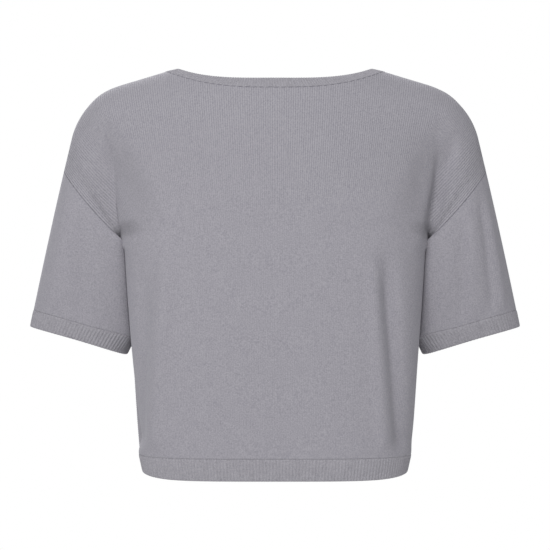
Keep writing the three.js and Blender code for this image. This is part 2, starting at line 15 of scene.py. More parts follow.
import bpy
import numpy as np
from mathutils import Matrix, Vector


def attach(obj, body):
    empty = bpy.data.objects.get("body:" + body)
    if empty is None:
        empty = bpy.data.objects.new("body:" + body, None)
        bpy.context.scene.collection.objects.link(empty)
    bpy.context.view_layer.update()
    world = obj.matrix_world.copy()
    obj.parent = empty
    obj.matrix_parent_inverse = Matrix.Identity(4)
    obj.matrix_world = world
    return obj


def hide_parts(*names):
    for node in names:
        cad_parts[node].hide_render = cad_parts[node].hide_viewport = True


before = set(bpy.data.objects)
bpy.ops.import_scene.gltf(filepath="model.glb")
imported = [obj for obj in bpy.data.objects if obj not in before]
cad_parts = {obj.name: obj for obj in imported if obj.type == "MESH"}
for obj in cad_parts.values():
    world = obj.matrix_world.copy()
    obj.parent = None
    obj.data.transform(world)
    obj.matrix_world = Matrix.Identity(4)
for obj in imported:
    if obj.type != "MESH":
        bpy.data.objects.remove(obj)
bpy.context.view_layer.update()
LOG = logging.getLogger("cropped_top")

MM = 0.001
BODY = "root"
CURVE_SAMPLES = 400

# The drape, as in the part: heights from the hem up, distances along the arm from the shoulder
HEM_EDGE_Z = -464.5
HEM_BAND_HEIGHT = 25.0
HEM_SEAM_Z = HEM_EDGE_Z + HEM_BAND_HEIGHT
UNDERARM_XZ = (176.5, -192.0)
ARMHOLE_TOP_ALONG = 130.0
CUFF_EDGE_ALONG = 316.3
CUFF_WIDTH = 20.0
NECK_FOOT_X = 128.0
NECKBAND_WIDTH = 15.0


class Face(Enum):
    """The two panels of the body, with the side of the wearer that each lies on."""

    BACK = 1
    FRONT = -1

    @property
    def word(self) -> str:
        """The panel's name in the part and in the tables of sizes."""
        return self.name.lower()


class Arm(Enum):
    """The wearer's arms, with the side of the body that each is on."""

    LEFT = 1
    RIGHT = -1

    @property
    def word(self) -> str:
        """The arm's name in the part."""
        return self.name.lower()


class BodySection(NamedTuple):
    """A level section of the body: half its width, and how far back and front stand out."""

    z: float
    half_width: float
    back: float
    front: float


class ArmSection(NamedTuple):
    """A section of the arm: its width inwards from the outline and half its depth.

    Its outer half has the squareness given. Its inner half, next to the body, is squarer, so
    that the crease between them is narrow.
    """

    along: float
    width: float
    half_depth: float
    squareness: float
    inner_squareness: float


class PanelFold(NamedTuple):
    """A soft fold that runs down a panel, with its half-width and how far it stands out.

    Its flank next to the centre is inner_share as wide as the other one.
    """

    face: Face
    top_x: float
    top_z: float
    low_x: float
    low_z: float
    spread: float
    height: float
    fade_in: float = 0.45
    fade_out: float = 0.08
    inner_share: float = 1.0


class SleeveFold(NamedTuple):
    """A soft fold along a sleeve: turns round the arm at its two ends, spread and height."""

    arm: Arm
    top_turn: float
    low_turn: float
    spread: float
    height: float


class NeckCurve(NamedTuple):
    """The neck hole's edge on one panel, and how steeply the neckband stands on it."""

    centre_z: float
    power: float
    band_lean: float


BODY_SECTIONS = (
    BodySection(HEM_EDGE_Z, 153.5, 99, 103),
    BodySection(HEM_SEAM_Z, 158, 101, 105),
    BodySection(-320, 166.5, 104, 112),
    BodySection(UNDERARM_XZ[1], UNDERARM_XZ[0], 108, 118),
    BodySection(-100, 186, 110, 119),
    BodySection(20, 196, 108, 116),
)

# The long folds of the sides, which the part has too, then the narrow ones at the arm's crease
PANEL_FOLDS = (
    PanelFold(Face.BACK, 146, -200, 157, -438, 9, -6.0, 0.4, 0.08),
    PanelFold(Face.BACK, 118, -150, 136, -438, 11, 5.0, 0.4, 0.08),
    PanelFold(Face.BACK, -123, -190, -146, -438, 9, -9.5, 0.3),
    PanelFold(Face.BACK, -108, -190, -124, -438, 8, 3.0, 0.3),
    PanelFold(Face.FRONT, 146, -190, 140, -438, 14, -5.5),
    PanelFold(Face.FRONT, 106, -140, 112, -438, 17, 3),
    PanelFold(Face.FRONT, -140, -170, -143, -438, 12, -6),
    PanelFold(Face.FRONT, -108, -150, -104, -438, 18, 3),
    PanelFold(Face.BACK, 200, 0, 190, -130, 15, 2.5, 0.4, 0.4),
    PanelFold(Face.BACK, 186, -130, 176, -204, 6, 3.2, 0.5, 0.02),
    PanelFold(Face.BACK, 185, -62, 170, -215, 4, 2.0, 0.6, 0.3, 2.5),
    PanelFold(Face.BACK, -207, -62, -178, -195, 6, -6.0, 0.35, 0.3, 2.0),
    PanelFold(Face.BACK, -188, -140, -176, -204, 6, 3.2, 0.4, 0.02),
    PanelFold(Face.BACK, -188, -62, -160, -215, 6, 3.5, 0.45, 0.3, 1.5),
    PanelFold(Face.FRONT, 190, -70, 176, -205, 11, -3.0, 0.5, 0.06, 0.5),
    PanelFold(Face.FRONT, -193, -75, -176, -205, 9, -3.5, 0.5, 0.06, 0.8),
)

SLEEVE_FOLDS = (
    SleeveFold(Arm.LEFT, 0.95, 0.9, 0.22, 2.0),
    SleeveFold(Arm.LEFT, 1.5, 1.6, 0.25, -2.5),
    SleeveFold(Arm.RIGHT, 0.75, 0.8, 0.14, 2.2),
    SleeveFold(Arm.RIGHT, 1.0, 1.1, 0.12, -2.4),
    SleeveFold(Arm.RIGHT, 1.7, 1.75, 0.16, -2.4),
    SleeveFold(Arm.RIGHT, 1.4, 1.5, 0.16, 1.6),
)

NECK_CURVES = {
    Face.BACK: NeckCurve(-19.5, 2.8, math.radians(52)),
    Face.FRONT: NeckCurve(-66, 2.3, math.radians(58)),
}
NECKBAND_SHOULDER_LEAN = math.radians(14)


def smooth_step(share: np.ndarray) -> np.ndarray:
    """A soft step from 0 to 1 as share goes from 0 to 1."""
    share = np.clip(share, 0, 1)
    return share**2 * (3 - 2 * share)


def unit(vectors: np.ndarray) -> np.ndarray:
    """The vectors at length one."""
    return vectors / np.maximum(np.linalg.norm(vectors, axis=-1, keepdims=True), 1e-12)


def mixed(start: np.ndarray, end: np.ndarray, share: np.ndarray) -> np.ndarray:
    """Values between start and end."""
    return start + (end - start) * share


def squarish(share: np.ndarray, squareness: np.ndarray) -> np.ndarray:
    """How far a squarish round stands out at a share of its half-width from the middle."""
    return np.maximum(0, 1 - np.abs(share) ** squareness) ** (1 / squareness)


def column(rows: tuple, key: str, name: str, at: np.ndarray) -> np.ndarray:
    """A smooth curve through one column of a table.

    Args:
        rows: The table's rows, in rising order of key.
        key: The column that says where each row is.
        name: The column to read.
        at: Where to read it.

    Returns:
        The curve's values, by cubic steps between the rows.
    """
    keys = np.array([getattr(row, key) for row in rows], float)
    values = np.array([getattr(row, name) for row in rows], float)
    slopes = np.gradient(values, keys)
    slopes[1:-1] = (values[2:] - values[:-2]) / (keys[2:] - keys[:-2])
    at = np.clip(at, keys[0], keys[-1])
    i = np.clip(np.searchsorted(keys, at, side="left") - 1, 0, len(keys) - 2)
    step = keys[i + 1] - keys[i]
    t = (at - keys[i]) / step
    start = values[i] * (1 + 2 * t) * (1 - t) ** 2 + slopes[i] * step * t * (1 - t) ** 2
    return start + values[i + 1] * t * t * (3 - 2 * t) + slopes[i + 1] * step * t * t * (t - 1)


def lengths_along(points: np.ndarray) -> np.ndarray:
    """The way gone along a line of points, from 0 at its first."""
    steps = np.linalg.norm(np.diff(points, axis=0), axis=-1)
    return np.concatenate([np.zeros_like(steps[:1]), np.cumsum(steps, axis=0)])


def even_steps(curve: Callable, start: float, end: float, count: int) -> np.ndarray:
    """Parameters at equal spacing along a curve.

    Args:
        curve: Gives the points of an array of parameters.
        start: The first parameter.
        end: The last parameter.
        count: The number of steps between them.

    Returns:
        count + 1 parameters.
    """
    samples = np.linspace(start, end, CURVE_SAMPLES + 1)
    gone = lengths_along(curve(samples))
    return np.interp(np.linspace(0, gone[-1], count + 1), gone, samples)


def evenly(line: np.ndarray, count: int) -> np.ndarray:
    """A line's rows at equal spacing, by the place in each row's first three values.

    Args:
        line: Rows of place and whatever goes with it. A ring repeats its first row.
        count: The number of steps.

    Returns:
        count + 1 rows.
    """
    gone = lengths_along(line[:, :3])
    at = np.linspace(0, gone[-1], count + 1)
    return np.stack([np.interp(at, gone, values) for values in line.T], axis=1)


def crowded_steps(count: int) -> np.ndarray:
    """Shares from 0 to 1 in count steps, closer together at the two ends."""
    return (1 - np.cos(math.pi * np.arange(count + 1) / count)) / 2


def both_halves(values: np.ndarray, sign: int = 1) -> np.ndarray:
    """One half's values on both halves of a panel, times sign on the wearer's right."""
    return np.concatenate([sign * values[:, :0:-1], values], axis=1)


def mirrored(rows: np.ndarray) -> np.ndarray:
    """Places, and the directions that may follow them, on the other side of the body.

    Args:
        rows: Places, and whatever follows them.

    Returns:
        The same, mirrored.
    """
    turned = rows.copy()
    turned[..., 0] *= -1
    if rows.shape[-1] >= 6:
        turned[..., 3] *= -1
    return turned


@dataclass(frozen=True)
class Outline:
    """The top's outline in the front view: shoulder line, round shoulder and arm line."""

    shoulder_slope: float = math.radians(16.7)
    arm_lean: float = math.radians(13.2)
    corner_x: float = 226.0
    corner_z: float = -25.0
    radius: float = 87.0

    @cached_property
    def shoulder_way(self) -> np.ndarray:
        """Direction down the shoulder line."""
        return np.array([math.cos(self.shoulder_slope), -math.sin(self.shoulder_slope)])

    @cached_property
    def shoulder_into(self) -> np.ndarray:
        """Direction into the garment from the shoulder line."""
        return np.array([-math.sin(self.shoulder_slope), -math.cos(self.shoulder_slope)])

    @cached_property
    def arm_way(self) -> np.ndarray:
        """Direction down the arm line."""
        return np.array([math.sin(self.arm_lean), -math.cos(self.arm_lean)])

    @cached_property
    def arm_into(self) -> np.ndarray:
        """Direction into the garment from the arm line."""
        return np.array([-math.cos(self.arm_lean), -math.sin(self.arm_lean)])

    @cached_property
    def round_turn(self) -> float:
        """The angle that the round shoulder turns through."""
        return math.pi / 2 - self.arm_lean - self.shoulder_slope

    @cached_property
    def round_start(self) -> np.ndarray:
        """Where the shoulder line turns into the round."""
        tangent = self.radius * math.tan(self.round_turn / 2)
        return np.array([self.corner_x, self.corner_z]) - self.shoulder_way * tangent

    @cached_property
    def round_end(self) -> np.ndarray:
        """Where the round turns into the arm line."""
        tangent = self.radius * math.tan(self.round_turn / 2)
        return np.array([self.corner_x, self.corner_z]) + self.arm_way * tangent

    @cached_property
    def round_centre(self) -> np.ndarray:
        """The middle of the round."""
        return self.round_start + self.shoulder_into * self.radius

    @property
    def round_length(self) -> float:
        """The round's length."""
        return self.radius * self.round_turn

    def coordinates(self, at: np.ndarray) -> tuple[np.ndarray, np.ndarray]:
        """Where points of the front view lie.

        Args:
            at: Points, as x and z.

        Returns:
            How far inside the outline they are, and how far along it.
        """
        on_shoulder = (at - self.round_start) @ self.shoulder_way
        on_arm = (at - self.round_end) @ self.arm_way
        spoke = at - self.round_centre
        angle = math.pi / 2 - self.shoulder_slope - np.arctan2(spoke[..., 1], spoke[..., 0])
        inset = self.radius - np.linalg.norm(spoke, axis=-1)
        inset = np.where(on_arm >= 0, (at - self.round_end) @ self.arm_into, inset)
        inset = np.where(on_shoulder <= 0, (at - self.round_start) @ self.shoulder_into, inset)
        along = np.where(on_arm >= 0, self.round_length + on_arm, self.radius * angle)
        return inset, np.where(on_shoulder <= 0, on_shoulder, along)

    def points(self, along: np.ndarray) -> np.ndarray:
        """Points of the outline, as x and z, at distances along it.

        Args:
            along: Distances from the start of the round shoulder.

        Returns:
            The points.
        """
        along = np.asarray(along, float)[..., None]
        angle = math.pi / 2 - self.shoulder_slope - along / self.radius
        spoke = np.concatenate([np.cos(angle), np.sin(angle)], axis=-1)
        on_round = self.round_centre + self.radius * spoke
        on_arm = self.round_end + self.arm_way * (along - self.round_length)
        on_shoulder = self.round_start + self.shoulder_way * along
        below = np.where(along >= self.round_length, on_arm, on_round)
        return np.where(along <= 0, on_shoulder, below)


@dataclass(frozen=True)
class WornForm:
    """The hollow shape that the top takes when worn: a body and two arms, joined softly.

    The inner side of a sleeve leans onto the body, by lean_most at the most and leaving lean_gap.
    The lean grows from lean_from to lean_full of the way inwards, starts over the first share
    lean_in of the sleeve's length and ends over the last share lean_out.
    """

    outline: Outline = field(default_factory=Outline)
    body_squareness: float = 3.4
    shoulder_fall: float = 170.0
    shoulder_fall_power: float = 1.5
    centre_softening: float = 80.0
    arm_blend: float = 5.0
    arm_forward: float = 30.0
    arm_forward_power: float = 1.7
    armhole_bow: float = 2.4
    cuff_edge_drop: float = 6.5
    lean_in: float = 0.05
    lean_out: float = 0.14
    lean_from: float = 0.2
    lean_full: float = 0.75
    lean_gap: float = 0.1
    lean_most: float = 9.0

    @cached_property
    def arm_sections(self) -> tuple:
        """The arm's sections, one of them at the underarm's own place on the outline.

        Returns:
            The table, down the arm.
        """
        inset, along = self.outline.coordinates(np.array(UNDERARM_XZ))
        return (
            ArmSection(-120, 84, 48, 2, 2),
            ArmSection(45, 85, 50, 2, 2.2),
            ArmSection(ARMHOLE_TOP_ALONG, 87, 53, 2.1, 3.2),
            ArmSection(float(along), float(inset), 54, 2.2, 6.2),
            ArmSection(205, 88.9, 54, 2.2, 5.2),
            ArmSection(220, 93.7, 53.5, 2.3, 4.7),
            ArmSection(265, 108.9, 52, 2.5, 3.5),
            ArmSection(309.5, 121.9, 50.5, 2.7, 3.0),
            ArmSection(323, 118, 49, 2.7, 3.0),
        )

    @cached_property
    def neck_foot_along(self) -> float:
        """Where the neckband meets the shoulder line, along the outline."""
        return float((NECK_FOOT_X - self.outline.round_start[0]) / self.outline.shoulder_way[0])

    def arm_width(self, along: np.ndarray) -> np.ndarray:
        """The arm's width inwards from the outline."""
        return column(self.arm_sections, "along", "width", along)

    def arm_half_depth(self, along: np.ndarray, share: np.ndarray) -> np.ndarray:
        """Half the arm's depth, from its outer edge (share -1) to its inner side (1).

        Args:
            along: Distances along the outline.
            share: How far inwards.

        Returns:
            The depths.
        """
        outer = column(self.arm_sections, "along", "squareness", along)
        inner = column(self.arm_sections, "along", "inner_squareness", along)
        squareness = np.where(share > 0, inner, outer)
        return column(self.arm_sections, "along", "half_depth", along) * squarish(share, squareness)

    def soft_abs(self, x: np.ndarray) -> np.ndarray:
        """The distance from the centre, with a round bottom so that both sides meet smoothly."""
        near = (x * x + self.centre_softening**2) / (2 * self.centre_softening)
        return np.where(np.abs(x) >= self.centre_softening, np.abs(x), near)

    def cloth_depth(self, face: Face, x: np.ndarray, z: np.ndarray) -> np.ndarray:
        """How far the cloth stands out at points of the front view.

        Args:
            face: The panel.
            x: How far to the side.
            z: How high.

        Returns:
            The depth of body and arm joined, with a soft valley between them.
        """
        half_width = column(BODY_SECTIONS, "z", "half_width", z)
        across = squarish(x / half_width, self.body_squareness)
        at = np.stack([self.soft_abs(x), z], axis=-1)
        below = (at - self.outline.round_start) @ self.outline.shoulder_into
        fall = 1 - (1 - np.clip(below / self.shoulder_fall, 0, 1)) ** self.shoulder_fall_power
        body = column(BODY_SECTIONS, "z", face.word, z) * across * np.sqrt(fall)
        inset, along = self.outline.coordinates(at)
        arm = self.arm_half_depth(along, 2 * inset / self.arm_width(along) - 1)
        return (body**self.arm_blend + arm**self.arm_blend) ** (1 / self.arm_blend)

    def section(self, face: Face, z: float, turn: np.ndarray) -> np.ndarray:
        """The body's level section, from the centre (turn 0) to the side seam (turn 1).

        Args:
            face: The panel.
            z: The section's height.
            turn: Shares of the way round.

        Returns:
            The places.
        """
        corner = 2 / self.body_squareness
        x = column(BODY_SECTIONS, "z", "half_width", z) * np.sin(turn * math.pi / 2) ** corner
        share = np.maximum(0, np.cos(turn * math.pi / 2)) ** corner
        y = face.value * column(BODY_SECTIONS, "z", face.word, z) * share
        return np.stack([x, y, np.full_like(x, z)], axis=-1)

    def neck_edge(self, face: Face, turn: np.ndarray) -> np.ndarray:
        """The neck hole's edge, from the centre (turn 0) to the shoulder line (turn 1).

        Args:
            face: The panel.
            turn: Shares of the way along it.

        Returns:
            The places.
        """
        curve = NECK_CURVES[face]
        foot_z = self.outline.points(self.neck_foot_along)[1]
        x = NECK_FOOT_X * np.sin(turn * math.pi / 2)
        z = mixed(curve.centre_z, foot_z, (x / NECK_FOOT_X) ** curve.power)
        return np.stack([x, face.value * self.cloth_depth(face, x, z), z], axis=-1)

    def arm_points(self, along: np.ndarray, turn: np.ndarray) -> np.ndarray:
        """The arm's surface: turn 0 is the outline, half a turn the inner side.

        Args:
            along: Distances along the outline.
            turn: Turns round the arm.

        Returns:
            The places.
        """
        inset = self.arm_width(along) / 2 * (1 - np.cos(turn))
        edge = self.outline.points(along) + self.outline.arm_into * inset[..., None]
        y = self.arm_half_depth(along, -np.cos(turn)) * np.sign(np.sin(turn))
        return np.stack([edge[..., 0], y, edge[..., 1]], axis=-1)

    def armhole(self, steps: np.ndarray) -> tuple[np.ndarray, np.ndarray]:
        """The armhole seam on the back, bowed a little to the sleeve in the front view.

        Args:
            steps: Shares of the way from the underarm (0) to the top of the sleeve (1).

        Returns:
            Distances along the outline, and turns round the arm.
        """
        low, top = np.array(UNDERARM_XZ), self.outline.points(ARMHOLE_TOP_ALONG)
        way = unit(top - low)
        out = np.array([way[1], -way[0]])
        bow = 4 * self.armhole_bow * steps * (1 - steps)
        at = mixed(low, top, steps[:, None]) + out * bow[:, None]
        inset, along = self.outline.coordinates(at)
        share = np.clip(inset / self.arm_width(along), 0, 1)
        return along, np.arccos(1 - 2 * share)

    def cuff_edge_along(self, turn: np.ndarray) -> np.ndarray:
        """Where the cuff's edge lies along the arm, at turns round it."""
        return CUFF_EDGE_ALONG + self.cuff_edge_drop * ((1 - np.cos(turn)) / 2) ** 2

    def seam_along(self, turn: np.ndarray) -> np.ndarray:
        """Where the armhole seam lies along the arm, at turns round it."""
        along, seam_turn = self.armhole(np.linspace(0, 1, CURVE_SAMPLES + 1))
        on_back = np.where(turn > math.pi, 2 * math.pi - turn, turn)
        return np.interp(on_back, seam_turn[::-1], along[::-1])

    def sleeve_points(self, along: np.ndarray, turn: np.ndarray) -> np.ndarray:
        """The sleeve's surface, which reaches forward towards the cuff.

        Args:
            along: Distances along the outline.
            turn: Turns round the arm.

        Returns:
            The places.
        """
        seam = self.seam_along(turn)
        share = np.clip((along - seam) / (self.cuff_edge_along(turn) - seam), 0, 1)
        at = self.arm_points(along, turn)
        at[..., 1] -= self.arm_forward * share**self.arm_forward_power
        fade = smooth_step(share / self.lean_in) * smooth_step((1 - share) / self.lean_out)
        at[..., 0] -= self.lean(at, -np.cos(turn)) * fade
        return at

    def lean(self, at: np.ndarray, inwards: np.ndarray) -> np.ndarray:
        """How far a sleeve's inner side leans onto the round side of the body.

        Args:
            at: The sleeve's places.
            inwards: How far each lies to the inner side, from -1 to 1.

        Returns:
            Distances towards the body.
        """
        x, y, z = np.moveaxis(at, -1, 0)
        back, front = (column(BODY_SECTIONS, "z", face.word, z) for face in Face)
        share = np.clip(y / np.where(y > 0, back, front), -1, 1)
        side = column(BODY_SECTIONS, "z", "half_width", z) * squarish(share, self.body_squareness)
        inner = smooth_step((inwards - self.lean_from) / (self.lean_full - self.lean_from))
        return np.clip(x - side - self.lean_gap, 0, self.lean_most) * inner

    def tube_normals(self, surface: Callable, along: np.ndarray, turn: np.ndarray) -> np.ndarray:
        """Outward directions of an arm surface, from its neighbouring points.

        Args:
            surface: Gives the places of distances and turns.
            along: Distances along the outline.
            turn: Turns round the arm.

        Returns:
            The directions.
        """
        step, swing = 0.5, 0.01
        forward = surface(along + step, turn) - surface(along - step, turn)
        around = surface(along, turn + swing) - surface(along, turn - swing)
        return unit(np.cross(forward, around))


def fold_heights(face: Face, x: np.ndarray, z: np.ndarray) -> np.ndarray:
    """How far the panel's soft folds move it along its normals, at points of the front view.

    Args:
        face: The panel.
        x: How far to the side.
        z: How high.

    Returns:
        Heights, below zero in a trough.
    """
    height = np.zeros_like(x)
    for fold in PANEL_FOLDS:
        if fold.face is not face:
            continue
        down = (fold.top_z - z) / (fold.top_z - fold.low_z)
        aside = (x - mixed(fold.top_x, fold.low_x, down)) / fold.spread
        aside = np.where(aside * fold.top_x < 0, aside / fold.inner_share, aside)
        fade = smooth_step(down / fold.fade_in) * smooth_step((1 - down) / fold.fade_out)
        height += fold.height * np.exp(-aside * aside) * fade
    return height


def grid_normals(points: np.ndarray) -> np.ndarray:
    """Directions square to a grid of points, from the neighbours of each."""
    return unit(np.cross(np.gradient(points, axis=1), np.gradient(points, axis=0)))


def sunk_edge(grid: np.ndarray, axis: int, at_end: bool, width: float, depth: float) -> np.ndarray:
    """Turn one edge of a grid of cloth in, as at a seam.

    Args:
        grid: Rows and columns of place, normal and flat place on the cloth.
        axis: 0 for an edge along the columns, 1 for one along the rows.
        at_end: Whether it is the last row or column, not the first.
        width: How far from the edge the cloth starts to turn in.
        depth: How far the edge itself is sunk.

    Returns:
        The grid with one more line beside the edge.
    """
    lines = np.moveaxis(grid, axis, 0)
    lines = lines[::-1] if at_end else lines
    edge, inside = lines[0], lines[1]
    gap = np.linalg.norm(inside[:, :3] - edge[:, :3], axis=-1, keepdims=True)
    beside = mixed(edge, inside, np.minimum(0.5, width / np.maximum(gap, 1e-6)))
    sunk = edge.copy()
    sunk[:, :3] -= edge[:, 3:6] * depth
    lines = np.concatenate([sunk[None], beside[None], lines[1:]])
    lines = lines[::-1] if at_end else lines
    return np.moveaxis(lines, 0, axis)


class Shell:
    """A closed wall of cloth that is made from a grid of its outer face."""

    def __init__(self, grid: np.ndarray, thickness: float, ring: bool) -> None:
        """Keep the grid.

        Args:
            grid: Rows and columns of place, normal and flat place, in millimetres.
            thickness: The cloth's thickness.
            ring: Whether the last column lies on the first.
        """
        self.grid = grid
        self.thickness = thickness
        self.ring = ring

    def corners(self) -> tuple[np.ndarray, np.ndarray]:
        """The wall's faces.

        Returns:
            Four corners for each face, as layer, row and column, and whether it is inside.
        """
        rows, columns = self.grid.shape[:2]
        r, c = (a.ravel() for a in np.meshgrid(range(rows - 1), range(columns - 1), indexing="ij"))
        line = np.arange(columns - 1)
        up = np.arange(rows - 1)

        def quads(*spots: tuple) -> np.ndarray:
            """Faces from four spots, each a layer, a row and a column."""
            count = len(np.broadcast_arrays(*spots[0])[0])
            parts = [np.stack([np.broadcast_to(v, count) for v in spot], -1) for spot in spots]
            return np.stack(parts, axis=1)

        last_row, last_column = rows - 1, columns - 1
        outer = quads((0, r, c), (0, r, c + 1), (0, r + 1, c + 1), (0, r + 1, c))
        inner = quads((1, r, c), (1, r + 1, c), (1, r + 1, c + 1), (1, r, c + 1))
        low = quads((0, 0, line), (1, 0, line), (1, 0, line + 1), (0, 0, line + 1))
        high = quads(
            (0, last_row, line), (0, last_row, line + 1),
            (1, last_row, line + 1), (1, last_row, line),
        )
        found = [outer, inner, low, high]
        if not self.ring:
            found.append(quads((0, up, 0), (0, up + 1, 0), (1, up + 1, 0), (1, up, 0)))
            found.append(quads(
                (0, up, last_column), (1, up, last_column),
                (1, up + 1, last_column), (0, up + 1, last_column),
            ))
        inside = np.concatenate([np.full(len(part), part is inner) for part in found])
        return np.concatenate(found), inside

    def build(self, name: str, outside: bpy.types.Material, lining: bpy.types.Material) -> bpy.types.Object:
        """Make the wall a mesh object.

        Args:
            name: The piece's name.
            outside: The finish of its outer face.
            lining: The finish of its inner face.

        Returns:
            The object, at the origin, with its flat place on the cloth as its UV map.
        """
        rows, columns = self.grid.shape[:2]
        count = columns - 1 if self.ring else columns
        outer = self.grid[:, :count, :3]
        inner = outer - self.thickness * self.grid[:, :count, 3:6]
        places = np.concatenate([outer.reshape(-1, 3), inner.reshape(-1, 3)])
        corners, inside = self.corners()
        layer, r, c = corners[..., 0], corners[..., 1], corners[..., 2]
        quads = layer * rows * count + r * count + c % count
        flat = self.grid[r, c, 6:8]
        if signed_volume(places, quads) < 0:
            quads, flat = quads[:, ::-1], flat[:, ::-1]
        made = mesh_object(name, places, quads, flat, (outside, lining), inside)
        carry(made.data, "loop_clarity", np.tile(self.grid[:, :count, 8].ravel(), 2))
        return made


def signed_volume(places: np.ndarray, quads: np.ndarray) -> float:
    """Six times the volume inside closed faces, below zero if they point inwards."""
    a, b, c, d = (places[quads[:, i]] for i in range(4))
    return float((a * np.cross(b, c)).sum() + (a * np.cross(c, d)).sum())


def mesh_object(
    name: str,
    places: np.ndarray,
    faces: np.ndarray,
    flat: np.ndarray,
    finishes: tuple,
    inside: np.ndarray,
) -> bpy.types.Object:
    """Make a mesh object in metres.

    Args:
        name: The piece's name.
        places: Its points, in millimetres.
        faces: The points of each face.
        flat: The flat place on the cloth of each face's corners, in millimetres.
        finishes: Its materials, outer first.
        inside: Whether each face takes the second material.

    Returns:
        The object, linked to the scene.
    """
    mesh = bpy.data.meshes.new(name)
    mesh.from_pydata((places * MM).tolist(), [], faces.tolist())
    for finish in finishes:
        mesh.materials.append(finish)
    mesh.polygons.foreach_set("material_index", inside.astype(np.int32))
    cloth = mesh.uv_layers.new(name="Cloth")
    cloth.data.foreach_set("uv", (flat * MM).astype(np.float32).ravel())
    mesh.shade_smooth()
    mesh.update()
    made = bpy.data.objects.new(name, mesh)
    bpy.context.collection.objects.link(made)
    return made


def linear(code: str) -> tuple[float, float, float, float]:
    """A hex sRGB colour as Blender's linear colour."""
    parts = [int(code[i : i + 2], 16) / 255 for i in (1, 3, 5)]
    turned = [p / 12.92 if p <= 0.04045 else ((p + 0.055) / 1.055) ** 2.4 for p in parts]
    return (*turned, 1.0)


def add(tree: bpy.types.NodeTree, kind: str, settings: dict, links: dict) -> bpy.types.Node:
    """Add a node.

    Args:
        tree: The tree that it goes into.
        kind: Its type, as Blender names it.
        settings: Properties of the node by name, and input values by number or name.
        links: Sockets to link, by the number or name of the input that each goes to.

    Returns:
        The node.
    """
    node = tree.nodes.new(kind)
    for key, value in settings.items():
        if isinstance(key, str) and hasattr(node, key):
            setattr(node, key, value)
        else:
            node.inputs[key].default_value = value
    for key, source in links.items():
        tree.links.new(source, node.inputs[key])
    return node


def set_inputs(node: bpy.types.Node, values: dict) -> None:
    """Set a node's inputs by name."""
    for name, value in values.items():
        node.inputs[name].default_value = value


